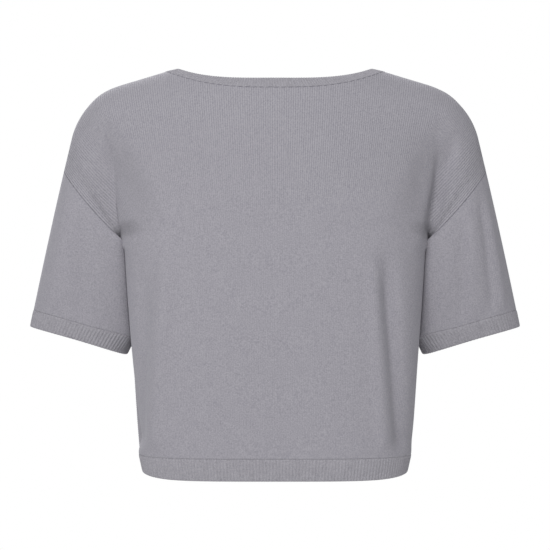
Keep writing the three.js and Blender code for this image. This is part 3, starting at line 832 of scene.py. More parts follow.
@dataclass(frozen=True)
class KnitFinish:
    """Fine wool-blend knit: a matt yarn with a soft bloom, in columns of loops.

    The eye sees soft vertical columns of loops close by, with painted shade in the grooves
    between them, and an even felted grey from afar. The fibre's own bloom is finer than 0.2 mm,
    too fine to show, so the grain is drawn at 1.5 mm.
    """

    name: str
    colour: str
    tone_and_groove_shade_colour: str
    wale_pitch: float
    course_pitch: float
    loop_depth: float
    slant: float
    groove_power: float = 2.5
    groove_level: float = 0.3
    leg_height: float = 0.2
    base_shade: float = 0.35
    groove_shade: float = 0.6
    grain_size: float = 1.5
    grain_shade: float = 2.2
    fuzz_height: float = 0.25
    fuzz_strength: float = 0.6
    mottle_size: float = 11.0
    mottle_shade: float = 0.35
    roughness: float = 0.92
    refraction: float = 1.5
    specular: float = 0.25
    sheen: float = 0.2
    sheen_roughness: float = 0.6
    sheen_colour: str = "#D9D9E2"

    def maths(self, tree: bpy.types.NodeTree, operation: str, *values: object) -> bpy.types.NodeSocket:
        """One sum in a tree: the values are numbers or sockets."""
        settings = {i: v for i, v in enumerate(values) if isinstance(v, (int, float))}
        links = {i: v for i, v in enumerate(values) if not isinstance(v, (int, float))}
        return add(tree, "ShaderNodeMath", {"operation": operation, **settings}, links).outputs[0]

    def loop_height(self, tree: bpy.types.NodeTree) -> tuple:
        """The knit's relief.

        Args:
            tree: The material's nodes.

        Returns:
            Sockets with the height of the loops, and how much deeper than most a point lies.
        """
        cloth = add(tree, "ShaderNodeUVMap", {"uv_map": "Cloth"}, {}).outputs["UV"]
        scale = Vector((1 / (self.wale_pitch * MM), 1 / (self.course_pitch * MM), 1))
        knit = add(tree, "ShaderNodeMapping", {"Scale": scale}, {"Vector": cloth}).outputs[0]
        parts = add(tree, "ShaderNodeSeparateXYZ", {}, {0: knit})
        from_middle = self.maths(
            tree, "ABSOLUTE",
            self.maths(tree, "SUBTRACT", self.maths(tree, "FRACT", parts.outputs[0]), 0.5),
        )
        aside = self.maths(tree, "MULTIPLY", from_middle, 2.0)
        groove = self.maths(tree, "POWER", aside, self.groove_power)
        lean = self.maths(tree, "MULTIPLY", from_middle, self.slant)
        row = self.maths(tree, "ADD", parts.outputs[1], lean)
        wave = self.maths(tree, "SINE", self.maths(tree, "MULTIPLY", row, 2 * math.pi))
        legs = self.maths(tree, "MULTIPLY", wave, self.leg_height)
        clarity = add(tree, "ShaderNodeAttribute", {"attribute_name": "loop_clarity"}, {}).outputs["Fac"]
        height = self.maths(tree, "MULTIPLY", self.maths(tree, "SUBTRACT", legs, groove), clarity)
        deeper = self.maths(tree, "SUBTRACT", groove, self.groove_level)
        return height, self.maths(tree, "MULTIPLY", deeper, clarity)

    def uneven(self, tree: bpy.types.NodeTree, noise: object, share: float) -> bpy.types.NodeSocket:
        """A noise about zero, times its share of the shade."""
        return self.maths(tree, "MULTIPLY", self.maths(tree, "SUBTRACT", noise, 0.5), share)

    def make(self) -> bpy.types.Material:
        """Make the material.

        Returns:
            The material.
        """
        material = bpy.data.materials.new(self.name)
        material.use_nodes = True
        tree = material.node_tree
        shader = tree.nodes["Principled BSDF"]
        height, groove = self.loop_height(tree)
        place = add(tree, "ShaderNodeTexCoord", {}, {}).outputs["Object"]
        grain = add(
            tree, "ShaderNodeTexNoise",
            {"Scale": 1 / (self.grain_size * MM), "Detail": 2.0, "Roughness": 0.6},
            {"Vector": place},
        ).outputs["Fac"]
        mottle = add(
            tree, "ShaderNodeTexNoise",
            {"Scale": 1 / (self.mottle_size * MM), "Detail": 4.0, "Roughness": 0.65},
            {"Vector": place},
        ).outputs["Fac"]
        melange = self.maths(
            tree, "ADD",
            self.uneven(tree, grain, self.grain_shade),
            self.uneven(tree, mottle, self.mottle_shade),
        )
        # Painted shade: the grooves are mixed towards the darker colour, along with random tone from grain
        # and mottle
        painted_groove_shade = self.maths(tree, "MULTIPLY", groove, self.groove_shade)
        shade = self.maths(tree, "ADD", self.maths(tree, "ADD", painted_groove_shade, melange), self.base_shade)
        tint = add(
            tree, "ShaderNodeMix",
            {"data_type": "RGBA", 6: linear(self.colour), 7: linear(self.tone_and_groove_shade_colour)},
            {0: shade},
        ).outputs[2]
        fuzz = add(
            tree, "ShaderNodeBump",
            {"Strength": self.fuzz_strength, "Distance": self.fuzz_height * MM},
            {"Height": grain},
        ).outputs[0]
        loops = add(
            tree, "ShaderNodeBump",
            {"Strength": 1.0, "Distance": self.loop_depth * MM},
            {"Height": height, "Normal": fuzz},
        ).outputs[0]
        tree.links.new(tint, shader.inputs["Base Color"])
        tree.links.new(loops, shader.inputs["Normal"])
        set_inputs(shader, {
            "Roughness": self.roughness,
            "IOR": self.refraction,
            "Specular IOR Level": self.specular,
            "Sheen Weight": self.sheen,
            "Sheen Roughness": self.sheen_roughness,
            "Sheen Tint": linear(self.sheen_colour),
        })
        return material


@dataclass(frozen=True)
class RibFinish(KnitFinish):
    """One-and-one rib in the same yarn: its furrows follow the rib count on the band's points.

    The eye sees light, raised columns with darker furrows between them: partly the relief's own shade,
    partly painted shade.
    """

    groove_level: float = 0.5
    leg_height: float = 0.25

    def loop_height(self, tree: bpy.types.NodeTree) -> tuple:
        """The rib's relief.

        Args:
            tree: The material's nodes.

        Returns:
            Sockets with the height of the loops, and how much deeper than most a point lies.
        """
        count = add(tree, "ShaderNodeAttribute", {"attribute_name": "rib_count"}, {}).outputs["Fac"]
        wave = self.maths(tree, "COSINE", self.maths(tree, "MULTIPLY", count, 2 * math.pi))
        furrow = self.maths(tree, "SUBTRACT", 0.5, self.maths(tree, "MULTIPLY", wave, 0.5))
        cloth = add(tree, "ShaderNodeUVMap", {"uv_map": "Cloth"}, {}).outputs["UV"]
        across = add(tree, "ShaderNodeSeparateXYZ", {}, {0: cloth}).outputs[1]
        turns = 2 * math.pi / (self.course_pitch * MM)
        courses = self.maths(tree, "SINE", self.maths(tree, "MULTIPLY", across, turns))
        legs = self.maths(tree, "MULTIPLY", courses, self.leg_height)
        height = self.maths(tree, "SUBTRACT", legs, furrow)
        return height, self.maths(tree, "SUBTRACT", furrow, self.groove_level)


@dataclass
class Finishes:
    """The garment's yarn in its knits and threads, made once."""

    jersey: bpy.types.Material = field(init=False)
    purl: bpy.types.Material = field(init=False)
    rib: bpy.types.Material = field(init=False)
    linking: bpy.types.Material = field(init=False)
    neck_linking_painted_shade: bpy.types.Material = field(init=False)

    def __post_init__(self) -> None:
        """Make the materials."""
        # The second colour of each finish is its darker one, mixed in for random tone and as painted shade
        # in the grooves
        # Plain jersey: smooth columns of V loops, an even soft grey from a step away
        self.jersey = KnitFinish(
            "plain_jersey_knit", "#908E94", "#77757D", 2.12, 1.9, 0.3, 1.6
        ).make()
        # The jersey's wrong side: rows of purl bumps, a shade duller
        self.purl = KnitFinish(
            "jersey_purl_side", "#88868D", "#716F76", 1.9, 2.35, 0.3, 0.5
        ).make()
        # One-and-one rib: each rib is a column of loops, with painted shade in the furrows between the ribs
        self.rib = RibFinish(
            "one_and_one_rib_knit", "#959399", "#68666C", 1.8, 1.9, 0.12, 1.6,
            groove_shade=0.08, grain_shade=1.4,
        ).make()
        # Linking thread: the same yarn, painted a shade darker for the shade of the sunk seam
        self.linking = KnitFinish(
            "linking_thread", "#84828A", "#6F6D75", 1.2, 1.2, 0.05, 0.5
        ).make()
        # The neck's linking thread: painted dark, for the shadow in the groove under the neckband
        self.neck_linking_painted_shade = KnitFinish(
            "neck_thread_painted_shade", "#6C6A72", "#5C5A62", 1.2, 1.2, 0.05, 0.5
        ).make()


def rest_on_root(piece: bpy.types.Object, node: str = "") -> bpy.types.Object:
    """Tell the frame about a piece.

    Args:
        piece: The piece.
        node: The solid that it stands for, if it does.

    Returns:
        The piece.
    """
    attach(piece, BODY)
    if node:
        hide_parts(node)
    return piece


@dataclass
class Panel:
    """The back or front of the body, from the hem band up to the neck and shoulders."""

    face: Face
    form: WornForm
    neck_columns: int = 36
    shoulder_columns: int = 48
    body_rows: int = 84
    yoke_rows: int = 70
    underarm_share: float = 4 / 14
    thickness: float = 1.6
    seam_width: float = 1.6
    neck_seam_depth: float = 0.6
    seam_depth: float = 0.15
    seam_ridge: float = 0.05
    seam_ridge_away: float = 4.0
    seam_ridge_spread: float = 2.0
    edge_fade: float = 9.0
    clear_z: float = -90.0
    blurred_z: float = -200.0
    low_clarity: float = 0.28
    clear_by_seam: float = 34.0
    seam_clarity: float = 1.4
    seam_wales: float = 48.0
    seam_wale_share: float = 0.75
    seam_wale_start: float = 0.15
    flat_width: float = 0.62
    flat_length: float = 0.46
    flat_area: float = 0.21

    @property
    def columns(self) -> int:
        """Columns on one half."""
        return self.neck_columns + self.shoulder_columns

    @cached_property
    def yoke_steps(self) -> np.ndarray:
        """Shares of the way up the yoke."""
        return crowded_steps(self.yoke_rows)

    def half(self) -> np.ndarray:
        """One half's places: rows from the hem seam up, columns from the centre out.

        Returns:
            The places.
        """
        form, face = self.form, self.face
        low = []
        for z in np.linspace(HEM_SEAM_Z, UNDERARM_XZ[1], self.body_rows + 1):
            turns = even_steps(lambda t, z=z: form.section(face, z, t), 0, 1, self.columns)
            low.append(form.section(face, z, turns))
        turns = even_steps(lambda t: form.neck_edge(face, t), 0, 1, self.neck_columns)
        along = np.linspace(form.neck_foot_along, ARMHOLE_TOP_ALONG, self.shoulder_columns + 1)
        shoulder = form.outline.points(along[1:])
        top = np.concatenate([form.neck_edge(face, turns)[:, [0, 2]], shoulder])
        steps = self.yoke_steps[1:, None]
        x = mixed(low[-1][:, 0], top[:, 0], steps)
        z = mixed(low[-1][:, 2], top[:, 1], steps)
        yoke = np.stack([x, face.value * form.cloth_depth(face, x, z), z], axis=-1)
        yoke[:, -1] = self.armhole_points()[1:]
        yoke[-1, self.neck_columns :, 1] = 0
        return np.concatenate([np.array(low), yoke])

    def armhole_points(self) -> np.ndarray:
        """The armhole seam's places on this face, from the underarm up."""
        seam = self.form.arm_points(*self.form.armhole(self.yoke_steps))
        seam[0] = (UNDERARM_XZ[0], 0, UNDERARM_XZ[1])
        return seam * (1, self.face.value, 1)

    def armhole_normals(self) -> np.ndarray:
        """The arm's outward directions along the armhole seam, on this face.

        Returns:
            A direction for each row of the yoke.
        """
        form = self.form
        along, turn = form.armhole(self.yoke_steps)
        normals = form.tube_normals(form.arm_points, along, turn)
        normals[0] = (-1, 0, 0)
        return normals * (1, self.face.value, 1)

    def normals(self, points: np.ndarray) -> np.ndarray:
        """Outward directions that agree with the neighbouring pieces at the seams.

        Args:
            points: The panel's places.

        Returns:
            A direction for each.
        """
        found = grid_normals(points)
        middle = self.columns
        if found[0, middle, 1] * self.face.value < 0:
            found = -found
        found[0, :, 2] = 0
        found[-1, : middle - self.neck_columns + 1, 1] = 0
        found[-1, middle + self.neck_columns :, 1] = 0
        seam = self.armhole_normals()[1:]
        share = smooth_step(np.arange(1, self.yoke_rows + 1) / (self.underarm_share * self.yoke_rows))
        for side, at in ((1, -1), (-1, 0)):
            found[: self.body_rows + 1, at, 1] = 0
            own = found[self.body_rows + 1 :, at]
            found[self.body_rows + 1 :, at] = mixed(own, seam * (side, 1, 1), share[:, None])
        return unit(found)

    def wales(self, half: np.ndarray) -> np.ndarray:
        """Where each point of one half lies across the knit's wales.

        Args:
            half: The half's places.

        Returns:
            Distances from the centre, for each row and column. The wales run up the body side
            by side and fan out over the shoulders, and beside the armhole they follow its seam,
            a little farther apart.
        """
        span = lengths_along(half[self.body_rows])[-1]
        low = np.linspace(0, span, self.columns + 1)
        sideways = np.abs(np.diff(half[-1, :, 0]))
        onward = np.linalg.norm(np.diff(half[-1][:, [0, 2]], axis=0), axis=-1)
        beyond_neck = np.arange(self.columns) >= self.neck_columns
        top = np.concatenate([[0], np.cumsum(np.where(beyond_neck, onward, sideways))])
        share = np.concatenate([np.zeros(self.body_rows), self.yoke_steps])[:, None]
        fanned = mixed(low, top * span / top[-1], share)
        away = self.from_edge(half)
        near = 1 - smooth_step((away - self.seam_wales) / self.seam_wales)
        near *= smooth_step(share / self.seam_wale_start)
        return mixed(fanned, span - self.seam_wale_share * away, near)

    def from_edge(self, half: np.ndarray) -> np.ndarray:
        """How far each point of one half is from its side edge, along its row."""
        gone = np.swapaxes(lengths_along(np.swapaxes(half, 0, 1)), 0, 1)
        return gone[:, -1:] - gone

    def relief(self, half: np.ndarray, points: np.ndarray) -> np.ndarray:
        """How far folds and the armhole seam's ridge move each point along its normal.

        Args:
            half: One half's places.
            points: Both halves' places.

        Returns:
            Heights for both halves.
        """
        from_edge = self.from_edge(half)
        aside = (from_edge - self.seam_ridge_away) / self.seam_ridge_spread
        ridge = self.seam_ridge * np.exp(-aside * aside)
        ridge[: self.body_rows + 1] = 0
        height = fold_heights(self.face, points[..., 0], points[..., 2])
        height *= smooth_step(both_halves(from_edge) / self.edge_fade)
        return height + both_halves(ridge)

    @cached_property
    def grid(self) -> np.ndarray:
        """The whole outer face: place, normal, place across wales and courses, and clarity.

        Returns:
            Nine values for each row and column.
        """
        half = self.half()
        points = np.concatenate([mirrored(half[:, :0:-1]), half], axis=1)
        normals = self.normals(points)
        points = points + normals * self.relief(half, points)[..., None]
        normals = self.normals(points)
        wales, clarity = both_halves(self.wales(half), -1), both_halves(self.clarity(half))
        knit = np.stack([wales, lengths_along(points), clarity], axis=-1)
        return np.concatenate([points, normals, knit], axis=-1)

    def clarity(self, half: np.ndarray) -> np.ndarray:
        """How clearly one half's loops show: over the shoulders and along the armhole.

        Args:
            half: The half's places.

        Returns:
            Shares, where a clear loop has 1.
        """
        high = smooth_step((half[..., 2] - self.blurred_z) / (self.clear_z - self.blurred_z))
        by_seam = 1 - smooth_step((self.from_edge(half) - self.clear_by_seam) / self.clear_by_seam)
        by_seam[: self.body_rows + 1] = 0
        return mixed(self.low_clarity, 1.0, np.maximum(high, self.seam_clarity * by_seam))

    def neck_line(self) -> np.ndarray:
        """Places and normals along the neck hole's edge, from the wearer's right to left."""
        middle, reach = self.columns, self.neck_columns
        return self.grid[-1, middle - reach : middle + reach + 1, :6]

    def build(self, finishes: Finishes) -> bpy.types.Object:
        """Make and dress the panel.

        Args:
            finishes: The garment's finishes.

        Returns:
            The panel.
        """
        grid = sunk_edge(self.grid, 0, True, self.seam_width, self.neck_seam_depth)
        for axis, at_end in ((0, False), (1, False), (1, True)):
            grid = sunk_edge(grid, axis, at_end, self.seam_width, self.seam_depth)
        name = f"{self.face.word}_panel_knit"
        piece = Shell(grid, self.thickness, False).build(name, finishes.jersey, finishes.purl)
        rest_on_root(piece, f"{self.face.word}_panel")
        LOG.info("%s: %d points", name, len(piece.data.vertices))
        return piece


@dataclass
class Sleeve:
    """A drop-shoulder sleeve, from the armhole seam to the cuff."""

    arm: Arm
    form: WornForm
    rows: int = 56
    yoke_rows: int = 70
    thickness: float = 1.6
    seam_width: float = 1.6
    seam_depth: float = 0.15
    fold_fade_in: float = 0.3
    fold_fade_out: float = 0.15
    clarity: float = 0.3
    flat_area: float = 0.0457

    def turns(self) -> tuple[np.ndarray, np.ndarray]:
        """Where the columns start.

        Returns:
            Distances along the outline and turns, from the underarm over the back to the
            top, and down the front to the underarm again.
        """
        along, turn = self.form.armhole(crowded_steps(self.yoke_rows))
        front = 2 * math.pi - turn[::-1][1:]
        turn = np.concatenate([turn, front - 2 * math.pi])
        return np.concatenate([along, along[::-1][1:]]), turn

    def fold_heights(self, share: np.ndarray, turn: np.ndarray) -> np.ndarray:
        """How far the sleeve's soft folds move it, at shares of its length and turns.

        Args:
            share: Shares of its length.
            turn: Turns round the arm.

        Returns:
            Heights, below zero in a trough.
        """
        height = np.zeros(np.broadcast(share, turn).shape)
        fade = smooth_step(share / self.fold_fade_in) * smooth_step((1 - share) / self.fold_fade_out)
        for fold in SLEEVE_FOLDS:
            if fold.arm is self.arm:
                aside = (turn - mixed(fold.top_turn, fold.low_turn, share)) / fold.spread
                height += fold.height * np.exp(-aside * aside) * fade
        return height

    @cached_property
    def grid(self) -> np.ndarray:
        """The outer face as a panel's, in rows from the seam to the cuff.

        Returns:
            Nine values for each row and column.
        """
        form = self.form
        start, turn = self.turns()
        full_turn = np.mod(turn, 2 * math.pi)
        end = form.cuff_edge_along(full_turn) - CUFF_WIDTH
        share = np.linspace(0, 1, self.rows + 1)[:, None]
        along = mixed(start, end, share)
        points = form.sleeve_points(along, np.broadcast_to(full_turn, along.shape))
        points[0, [0, -1]] = (UNDERARM_XZ[0], 0, UNDERARM_XZ[1])
        normals = grid_normals(points)
        first = normals[:, 0] + normals[:, -1]
        normals[:, 0] = normals[:, -1] = unit(first)
        middle = len(turn) // 2
        if normals[self.rows // 2, middle, 0] < 0:
            normals = -normals
        normals[0] = form.tube_normals(form.arm_points, start, full_turn)
        normals[0, [0, -1]] = (-1, 0, 0)
        points = points + normals * self.fold_heights(share, full_turn)[..., None]
        around = lengths_along(points[-1])
        courses = lengths_along(points)
        clarity = np.full(courses.shape, self.clarity)
        knit = np.stack([np.broadcast_to(around, courses.shape), courses, clarity], axis=-1)
        grid = np.concatenate([points, normals, knit], axis=-1)
        return grid if self.arm is Arm.LEFT else mirrored(grid)

    def build(self, finishes: Finishes) -> bpy.types.Object:
        """Make and dress the sleeve.

        Args:
            finishes: The garment's finishes.

        Returns:
            The sleeve.
        """
        grid = self.grid
        for at_end in (False, True):
            grid = sunk_edge(grid, 0, at_end, self.seam_width, self.seam_depth)
        name = f"sleeve_{self.arm.word}_knit"
        piece = Shell(grid, self.thickness, True).build(name, finishes.jersey, finishes.purl)
        rest_on_root(piece, f"sleeve_{self.arm.word}")
        width = lengths_along(self.grid[-1, :, :3])[-1] * MM
        length = lengths_along(self.grid[..., :3])[-1].max() * MM
        LOG.info("%s: cut %.3f x %.3f m", name, width, length)
        return piece


class BandSpot(NamedTuple):
    """A point of a band's profile: share across it, height over its face, share of relief."""

    across: float
    height: float
    relief: float


@dataclass
class RibReliefTree:
    """Geometry Nodes that raise ribs on a band, from the rib count carried by its points."""

    name: str = "rib_relief"

    def build(self) -> bpy.types.NodeTree:
        """Make the tree.

        Returns:
            A tree with the inputs Geometry, Relief, Fullness and Finish.
        """
        tree = bpy.data.node_groups.new(self.name, "GeometryNodeTree")
        face = tree.interface
        face.new_socket("Geometry", in_out="INPUT", socket_type="NodeSocketGeometry")
        face.new_socket("Relief", in_out="INPUT", socket_type="NodeSocketFloat")
        face.new_socket("Fullness", in_out="INPUT", socket_type="NodeSocketFloat")
        face.new_socket("Finish", in_out="INPUT", socket_type="NodeSocketMaterial")
        face.new_socket("Geometry", in_out="OUTPUT", socket_type="NodeSocketGeometry")
        given = add(tree, "NodeGroupInput", {}, {})

        def carried(name: str, kind: str) -> bpy.types.NodeSocket:
            """A value that the band's points carry."""
            node = add(tree, "GeometryNodeInputNamedAttribute", {"data_type": kind, "Name": name}, {})
            return node.outputs["Attribute"]

        def sum_of(operation: str, first: object, second: object) -> bpy.types.NodeSocket:
            """A sum of two values, each a socket or a number.

            Args:
                operation: The kind of sum.
                first: The first value.
                second: The second value.

            Returns:
                The socket with the result.
            """
            both = {0: first, 1: second}
            numbers = {k: v for k, v in both.items() if isinstance(v, float)}
            sockets = {k: v for k, v in both.items() if not isinstance(v, float)}
            node = add(tree, "ShaderNodeMath", {"operation": operation, **numbers}, sockets)
            return node.outputs[0]

        turned = sum_of("MULTIPLY", carried("rib_count", "FLOAT"), 2 * math.pi)
        wave = sum_of("COSINE", turned, 0.0)
        raised = sum_of("ADD", sum_of("MULTIPLY", wave, 0.5), 0.5)
        rounded = sum_of("POWER", raised, given.outputs["Fullness"])
        height = sum_of("MULTIPLY", rounded, given.outputs["Relief"])
        faded = sum_of("MULTIPLY", height, carried("rib_share", "FLOAT"))
        shift = add(
            tree, "ShaderNodeVectorMath", {"operation": "SCALE"},
            {"Vector": carried("outwards", "FLOAT_VECTOR"), "Scale": faded},
        ).outputs[0]
        moved = add(
            tree, "GeometryNodeSetPosition", {},
            {"Geometry": given.outputs["Geometry"], "Offset": shift},
        ).outputs[0]
        real = add(tree, "GeometryNodeRealizeInstances", {}, {"Geometry": moved}).outputs[0]
        dressed = add(
            tree, "GeometryNodeSetMaterial", {},
            {"Geometry": real, "Material": given.outputs["Finish"]},
        ).outputs[0]
        add(tree, "NodeGroupOutput", {}, {"Geometry": dressed})
        return tree


@dataclass
class StitchRowTree:
    """Geometry Nodes that lay a row of linking stitches along a seam's line."""

    name: str = "stitch_row"

    def build(self) -> bpy.types.NodeTree:
        """Make the tree.

        Returns:
            A tree with the inputs Geometry, Pitch, Length, Thickness, Slant and Finish.
        """
        tree = bpy.data.node_groups.new(self.name, "GeometryNodeTree")
        face = tree.interface
        face.new_socket("Geometry", in_out="INPUT", socket_type="NodeSocketGeometry")
        for size in ("Pitch", "Length", "Thickness", "Slant"):
            face.new_socket(size, in_out="INPUT", socket_type="NodeSocketFloat")
        face.new_socket("Finish", in_out="INPUT", socket_type="NodeSocketMaterial")
        face.new_socket("Geometry", in_out="OUTPUT", socket_type="NodeSocketGeometry")
        given = add(tree, "NodeGroupInput", {}, {})
        line = add(
            tree, "GeometryNodeMeshToCurve", {}, {"Mesh": given.outputs["Geometry"]}
        ).outputs[0]
        spots = add(
            tree, "GeometryNodeResampleCurve", {"mode": "LENGTH"},
            {"Curve": line, "Length": given.outputs["Pitch"]},
        ).outputs[0]
        along = add(tree, "GeometryNodeInputTangent", {}, {}).outputs[0]
        out = add(
            tree, "GeometryNodeInputNamedAttribute",
            {"data_type": "FLOAT_VECTOR", "Name": "outwards"}, {},
        ).outputs["Attribute"]
        standing = add(
            tree, "FunctionNodeAlignRotationToVector", {"axis": "Z"}, {"Vector": out}
        ).outputs[0]
        aligned = add(
            tree, "FunctionNodeAlignRotationToVector", {"axis": "X", "pivot_axis": "Z"},
            {"Rotation": standing, "Vector": along},
        ).outputs[0]
        turn = add(
            tree, "ShaderNodeCombineXYZ", {}, {"Z": given.outputs["Slant"]}
        ).outputs[0]
        slanted = add(
            tree, "FunctionNodeRotateRotation", {"rotation_space": "LOCAL"},
            {"Rotation": aligned, "Rotate By": turn},
        ).outputs[0]
        thread = add(
            tree, "GeometryNodeMeshUVSphere", {"Segments": 6, "Rings": 5, "Radius": 0.5}, {}
        ).outputs[0]
        size = add(
            tree, "ShaderNodeCombineXYZ", {},
            {
                "X": given.outputs["Length"],
                "Y": given.outputs["Thickness"],
                "Z": given.outputs["Thickness"],
            },
        ).outputs[0]
        stitches = add(
            tree, "GeometryNodeInstanceOnPoints", {},
            {"Points": spots, "Instance": thread, "Rotation": slanted, "Scale": size},
        ).outputs[0]
        real = add(tree, "GeometryNodeRealizeInstances", {}, {"Geometry": stitches}).outputs[0]
        smooth = add(tree, "GeometryNodeSetShadeSmooth", {}, {"Geometry": real}).outputs[0]
        dressed = add(
            tree, "GeometryNodeSetMaterial", {},
            {"Geometry": smooth, "Material": given.outputs["Finish"]},
        ).outputs[0]
        add(tree, "NodeGroupOutput", {}, {"Geometry": dressed})
        return tree


def grown(piece: bpy.types.Object, tree: bpy.types.NodeTree, values: dict) -> bpy.types.Object:
    """Run a tree on a piece and keep the result as a plain mesh.

    Args:
        piece: The piece, with what the tree reads on its points.
        tree: The Geometry Nodes.
        values: The tree's inputs by name.

    Returns:
        The piece, with the new mesh and no modifier.
    """
    modifier = piece.modifiers.new(tree.name, "NODES")
    modifier.node_group = tree
    for socket in tree.interface.items_tree:
        if socket.in_out == "INPUT" and socket.name in values:
            modifier[socket.identifier] = values[socket.name]
    graph = bpy.context.evaluated_depsgraph_get()
    mesh = bpy.data.meshes.new_from_object(piece.evaluated_get(graph))
    plain = piece.data
    piece.modifiers.remove(modifier)
    piece.data = mesh
    mesh.name = piece.name
    bpy.data.meshes.remove(plain)
    return piece


def carry(mesh: bpy.types.Mesh, name: str, values: np.ndarray) -> None:
    """Store a number or a direction on each point of a mesh.

    Args:
        mesh: The mesh.
        name: What the value is called.
        values: A number or a direction for each point.
    """
    vector = values.ndim == 2
    kind = "FLOAT_VECTOR" if vector else "FLOAT"
    layer = mesh.attributes.new(name, kind, "POINT")
    layer.data.foreach_set("vector" if vector else "value", values.astype(np.float32).ravel())


@dataclass
class RibbedBand:
    """A one-and-one ribbed band between a seam and a free edge, with a rolled lip."""

    name: str
    node: str
    seam: np.ndarray
    edge: np.ndarray
    ribs: int
    ring: bool
    tree: bpy.types.NodeTree
    thickness: float = 1.8
    relief: float = 0.52
    seam_depth: float = 0.2
    fullness: float = 0.7
    columns_per_rib: int = 6

    def profile(self) -> tuple:
        """The band's profile, down its outer face, round the lip and up its inner face.

        Returns:
            Its spots.
        """
        t = self.thickness
        return (
            BandSpot(0.0, -self.seam_depth, 0.0),
            BandSpot(0.05, self.seam_depth * -0.1, 0.5),
            BandSpot(0.16, 0.0, 1.0),
            BandSpot(0.5, 0.0, 1.0),
            BandSpot(0.86, 0.0, 1.0),
            BandSpot(0.965, -0.12, 1.0),
            BandSpot(1.0, -0.5, 0.9),
            BandSpot(1.0, t * -0.7, 0.8),
            BandSpot(0.965, 0.12 - t, 0.8),
            BandSpot(0.5, -t, 0.8),
            BandSpot(0.05, -t, 0.3),
            BandSpot(0.0, 0.1 - t, 0.0),
        )

    def swept(self, seam: np.ndarray, edge: np.ndarray) -> np.ndarray:
        """Sweep the profile along the band.

        Args:
            seam: Rows of place and normal along the seam.
            edge: The same along the free edge.

        Returns:
            Place and normal of each spot of the profile, for each row.
        """
        lines = []
        for spot in self.profile():
            line = mixed(seam, edge, spot.across)
            outwards = unit(line[:, 3:6])
            lines.append(np.concatenate([line[:, :3] + spot.height * outwards, outwards], axis=1))
        return np.stack(lines, axis=1)

    def faces(self, around: np.ndarray, across: np.ndarray) -> tuple[np.ndarray, np.ndarray]:
        """The band's faces.

        Args:
            around: How far along the seam each column is.
            across: How far from the seam each spot of the profile is.

        Returns:
            The points of each face, and their flat places on the cloth.
        """
        count, spots = len(around) - 1, len(across)
        columns = count if self.ring else count + 1
        c, s = (a.ravel() for a in np.meshgrid(range(count), range(spots), indexing="ij"))
        below = (s + 1) % spots
        corners = ((c, s), (c + 1, s), (c + 1, below), (c, below))
        quads = [(column % columns) * spots + spot for column, spot in corners]
        flat = [np.stack([around[column], across[spot]], axis=-1) for column, spot in corners]
        return np.stack(quads, axis=1), np.stack(flat, axis=1)

    def build(self, finishes: Finishes) -> bpy.types.Object:
        """Make, rib and dress the band.

        Args:
            finishes: The garment's finishes.

        Returns:
            The band.
        """
        count = self.ribs * self.columns_per_rib
        columns = count if self.ring else count + 1
        seam, edge = evenly(self.seam, count), evenly(self.edge, count)
        swept = self.swept(seam, edge)[:columns]
        places = swept[..., :3].reshape(-1, 3)
        around = lengths_along(seam[:, :3])
        width = float(np.linalg.norm(edge[count // 2, :3] - seam[count // 2, :3]))
        spots = self.profile()
        quads, flat = self.faces(around, np.array([spot.across * width for spot in spots]))
        if signed_volume(places, quads) < 0:
            quads, flat = quads[:, ::-1], flat[:, ::-1]
        inside = np.zeros(len(quads), bool)
        piece = mesh_object(self.name, places, quads, flat, (finishes.rib,), inside)
        if not self.ring:
            self.close_ends(piece, columns, len(spots))
        number = np.repeat(np.arange(columns) / self.columns_per_rib, len(spots))
        carry(piece.data, "rib_count", number)
        carry(piece.data, "rib_share", np.tile([spot.relief for spot in spots], columns))
        carry(piece.data, "outwards", swept[..., 3:6].reshape(-1, 3))
        values = {"Relief": self.relief * MM, "Fullness": self.fullness, "Finish": finishes.rib}
        grown(piece, self.tree, values)
        rest_on_root(piece, self.node)
        LOG.info("%s: %d ribs on %.0f mm", self.name, self.ribs, around[-1])
        return piece

    def close_ends(self, piece: bpy.types.Object, columns: int, spots: int) -> None:
        """Close the two ends of a band that isn't a ring, with faces that point outwards.

        Args:
            piece: The band.
            columns: How many columns it has.
            spots: How many points a column has.
        """
        mesh = piece.data
        first = list(range(spots))
        last = [(columns - 1) * spots + spot for spot in range(spots)]
        faces = [tuple(polygon.vertices) for polygon in mesh.polygons]
        places = [tuple(vertex.co) for vertex in mesh.vertices]
        old_flat = np.zeros(len(mesh.loops) * 2, np.float32)
        mesh.uv_layers["Cloth"].data.foreach_get("uv", old_flat)
        runs_down = faces[0][(faces[0].index(0) + 1) % 4] == 1
        ends = [first[::-1], last] if runs_down else [first, last[::-1]]
        finish = mesh.materials[0]
        mesh.clear_geometry()
        mesh.from_pydata(places, [], faces + ends)
        flat = np.concatenate([old_flat, np.zeros(4 * spots, np.float32)])
        layer = mesh.uv_layers.get("Cloth") or mesh.uv_layers.new(name="Cloth")
        layer.data.foreach_set("uv", flat)
        if not mesh.materials:
            mesh.materials.append(finish)
        mesh.shade_smooth()
        mesh.update()


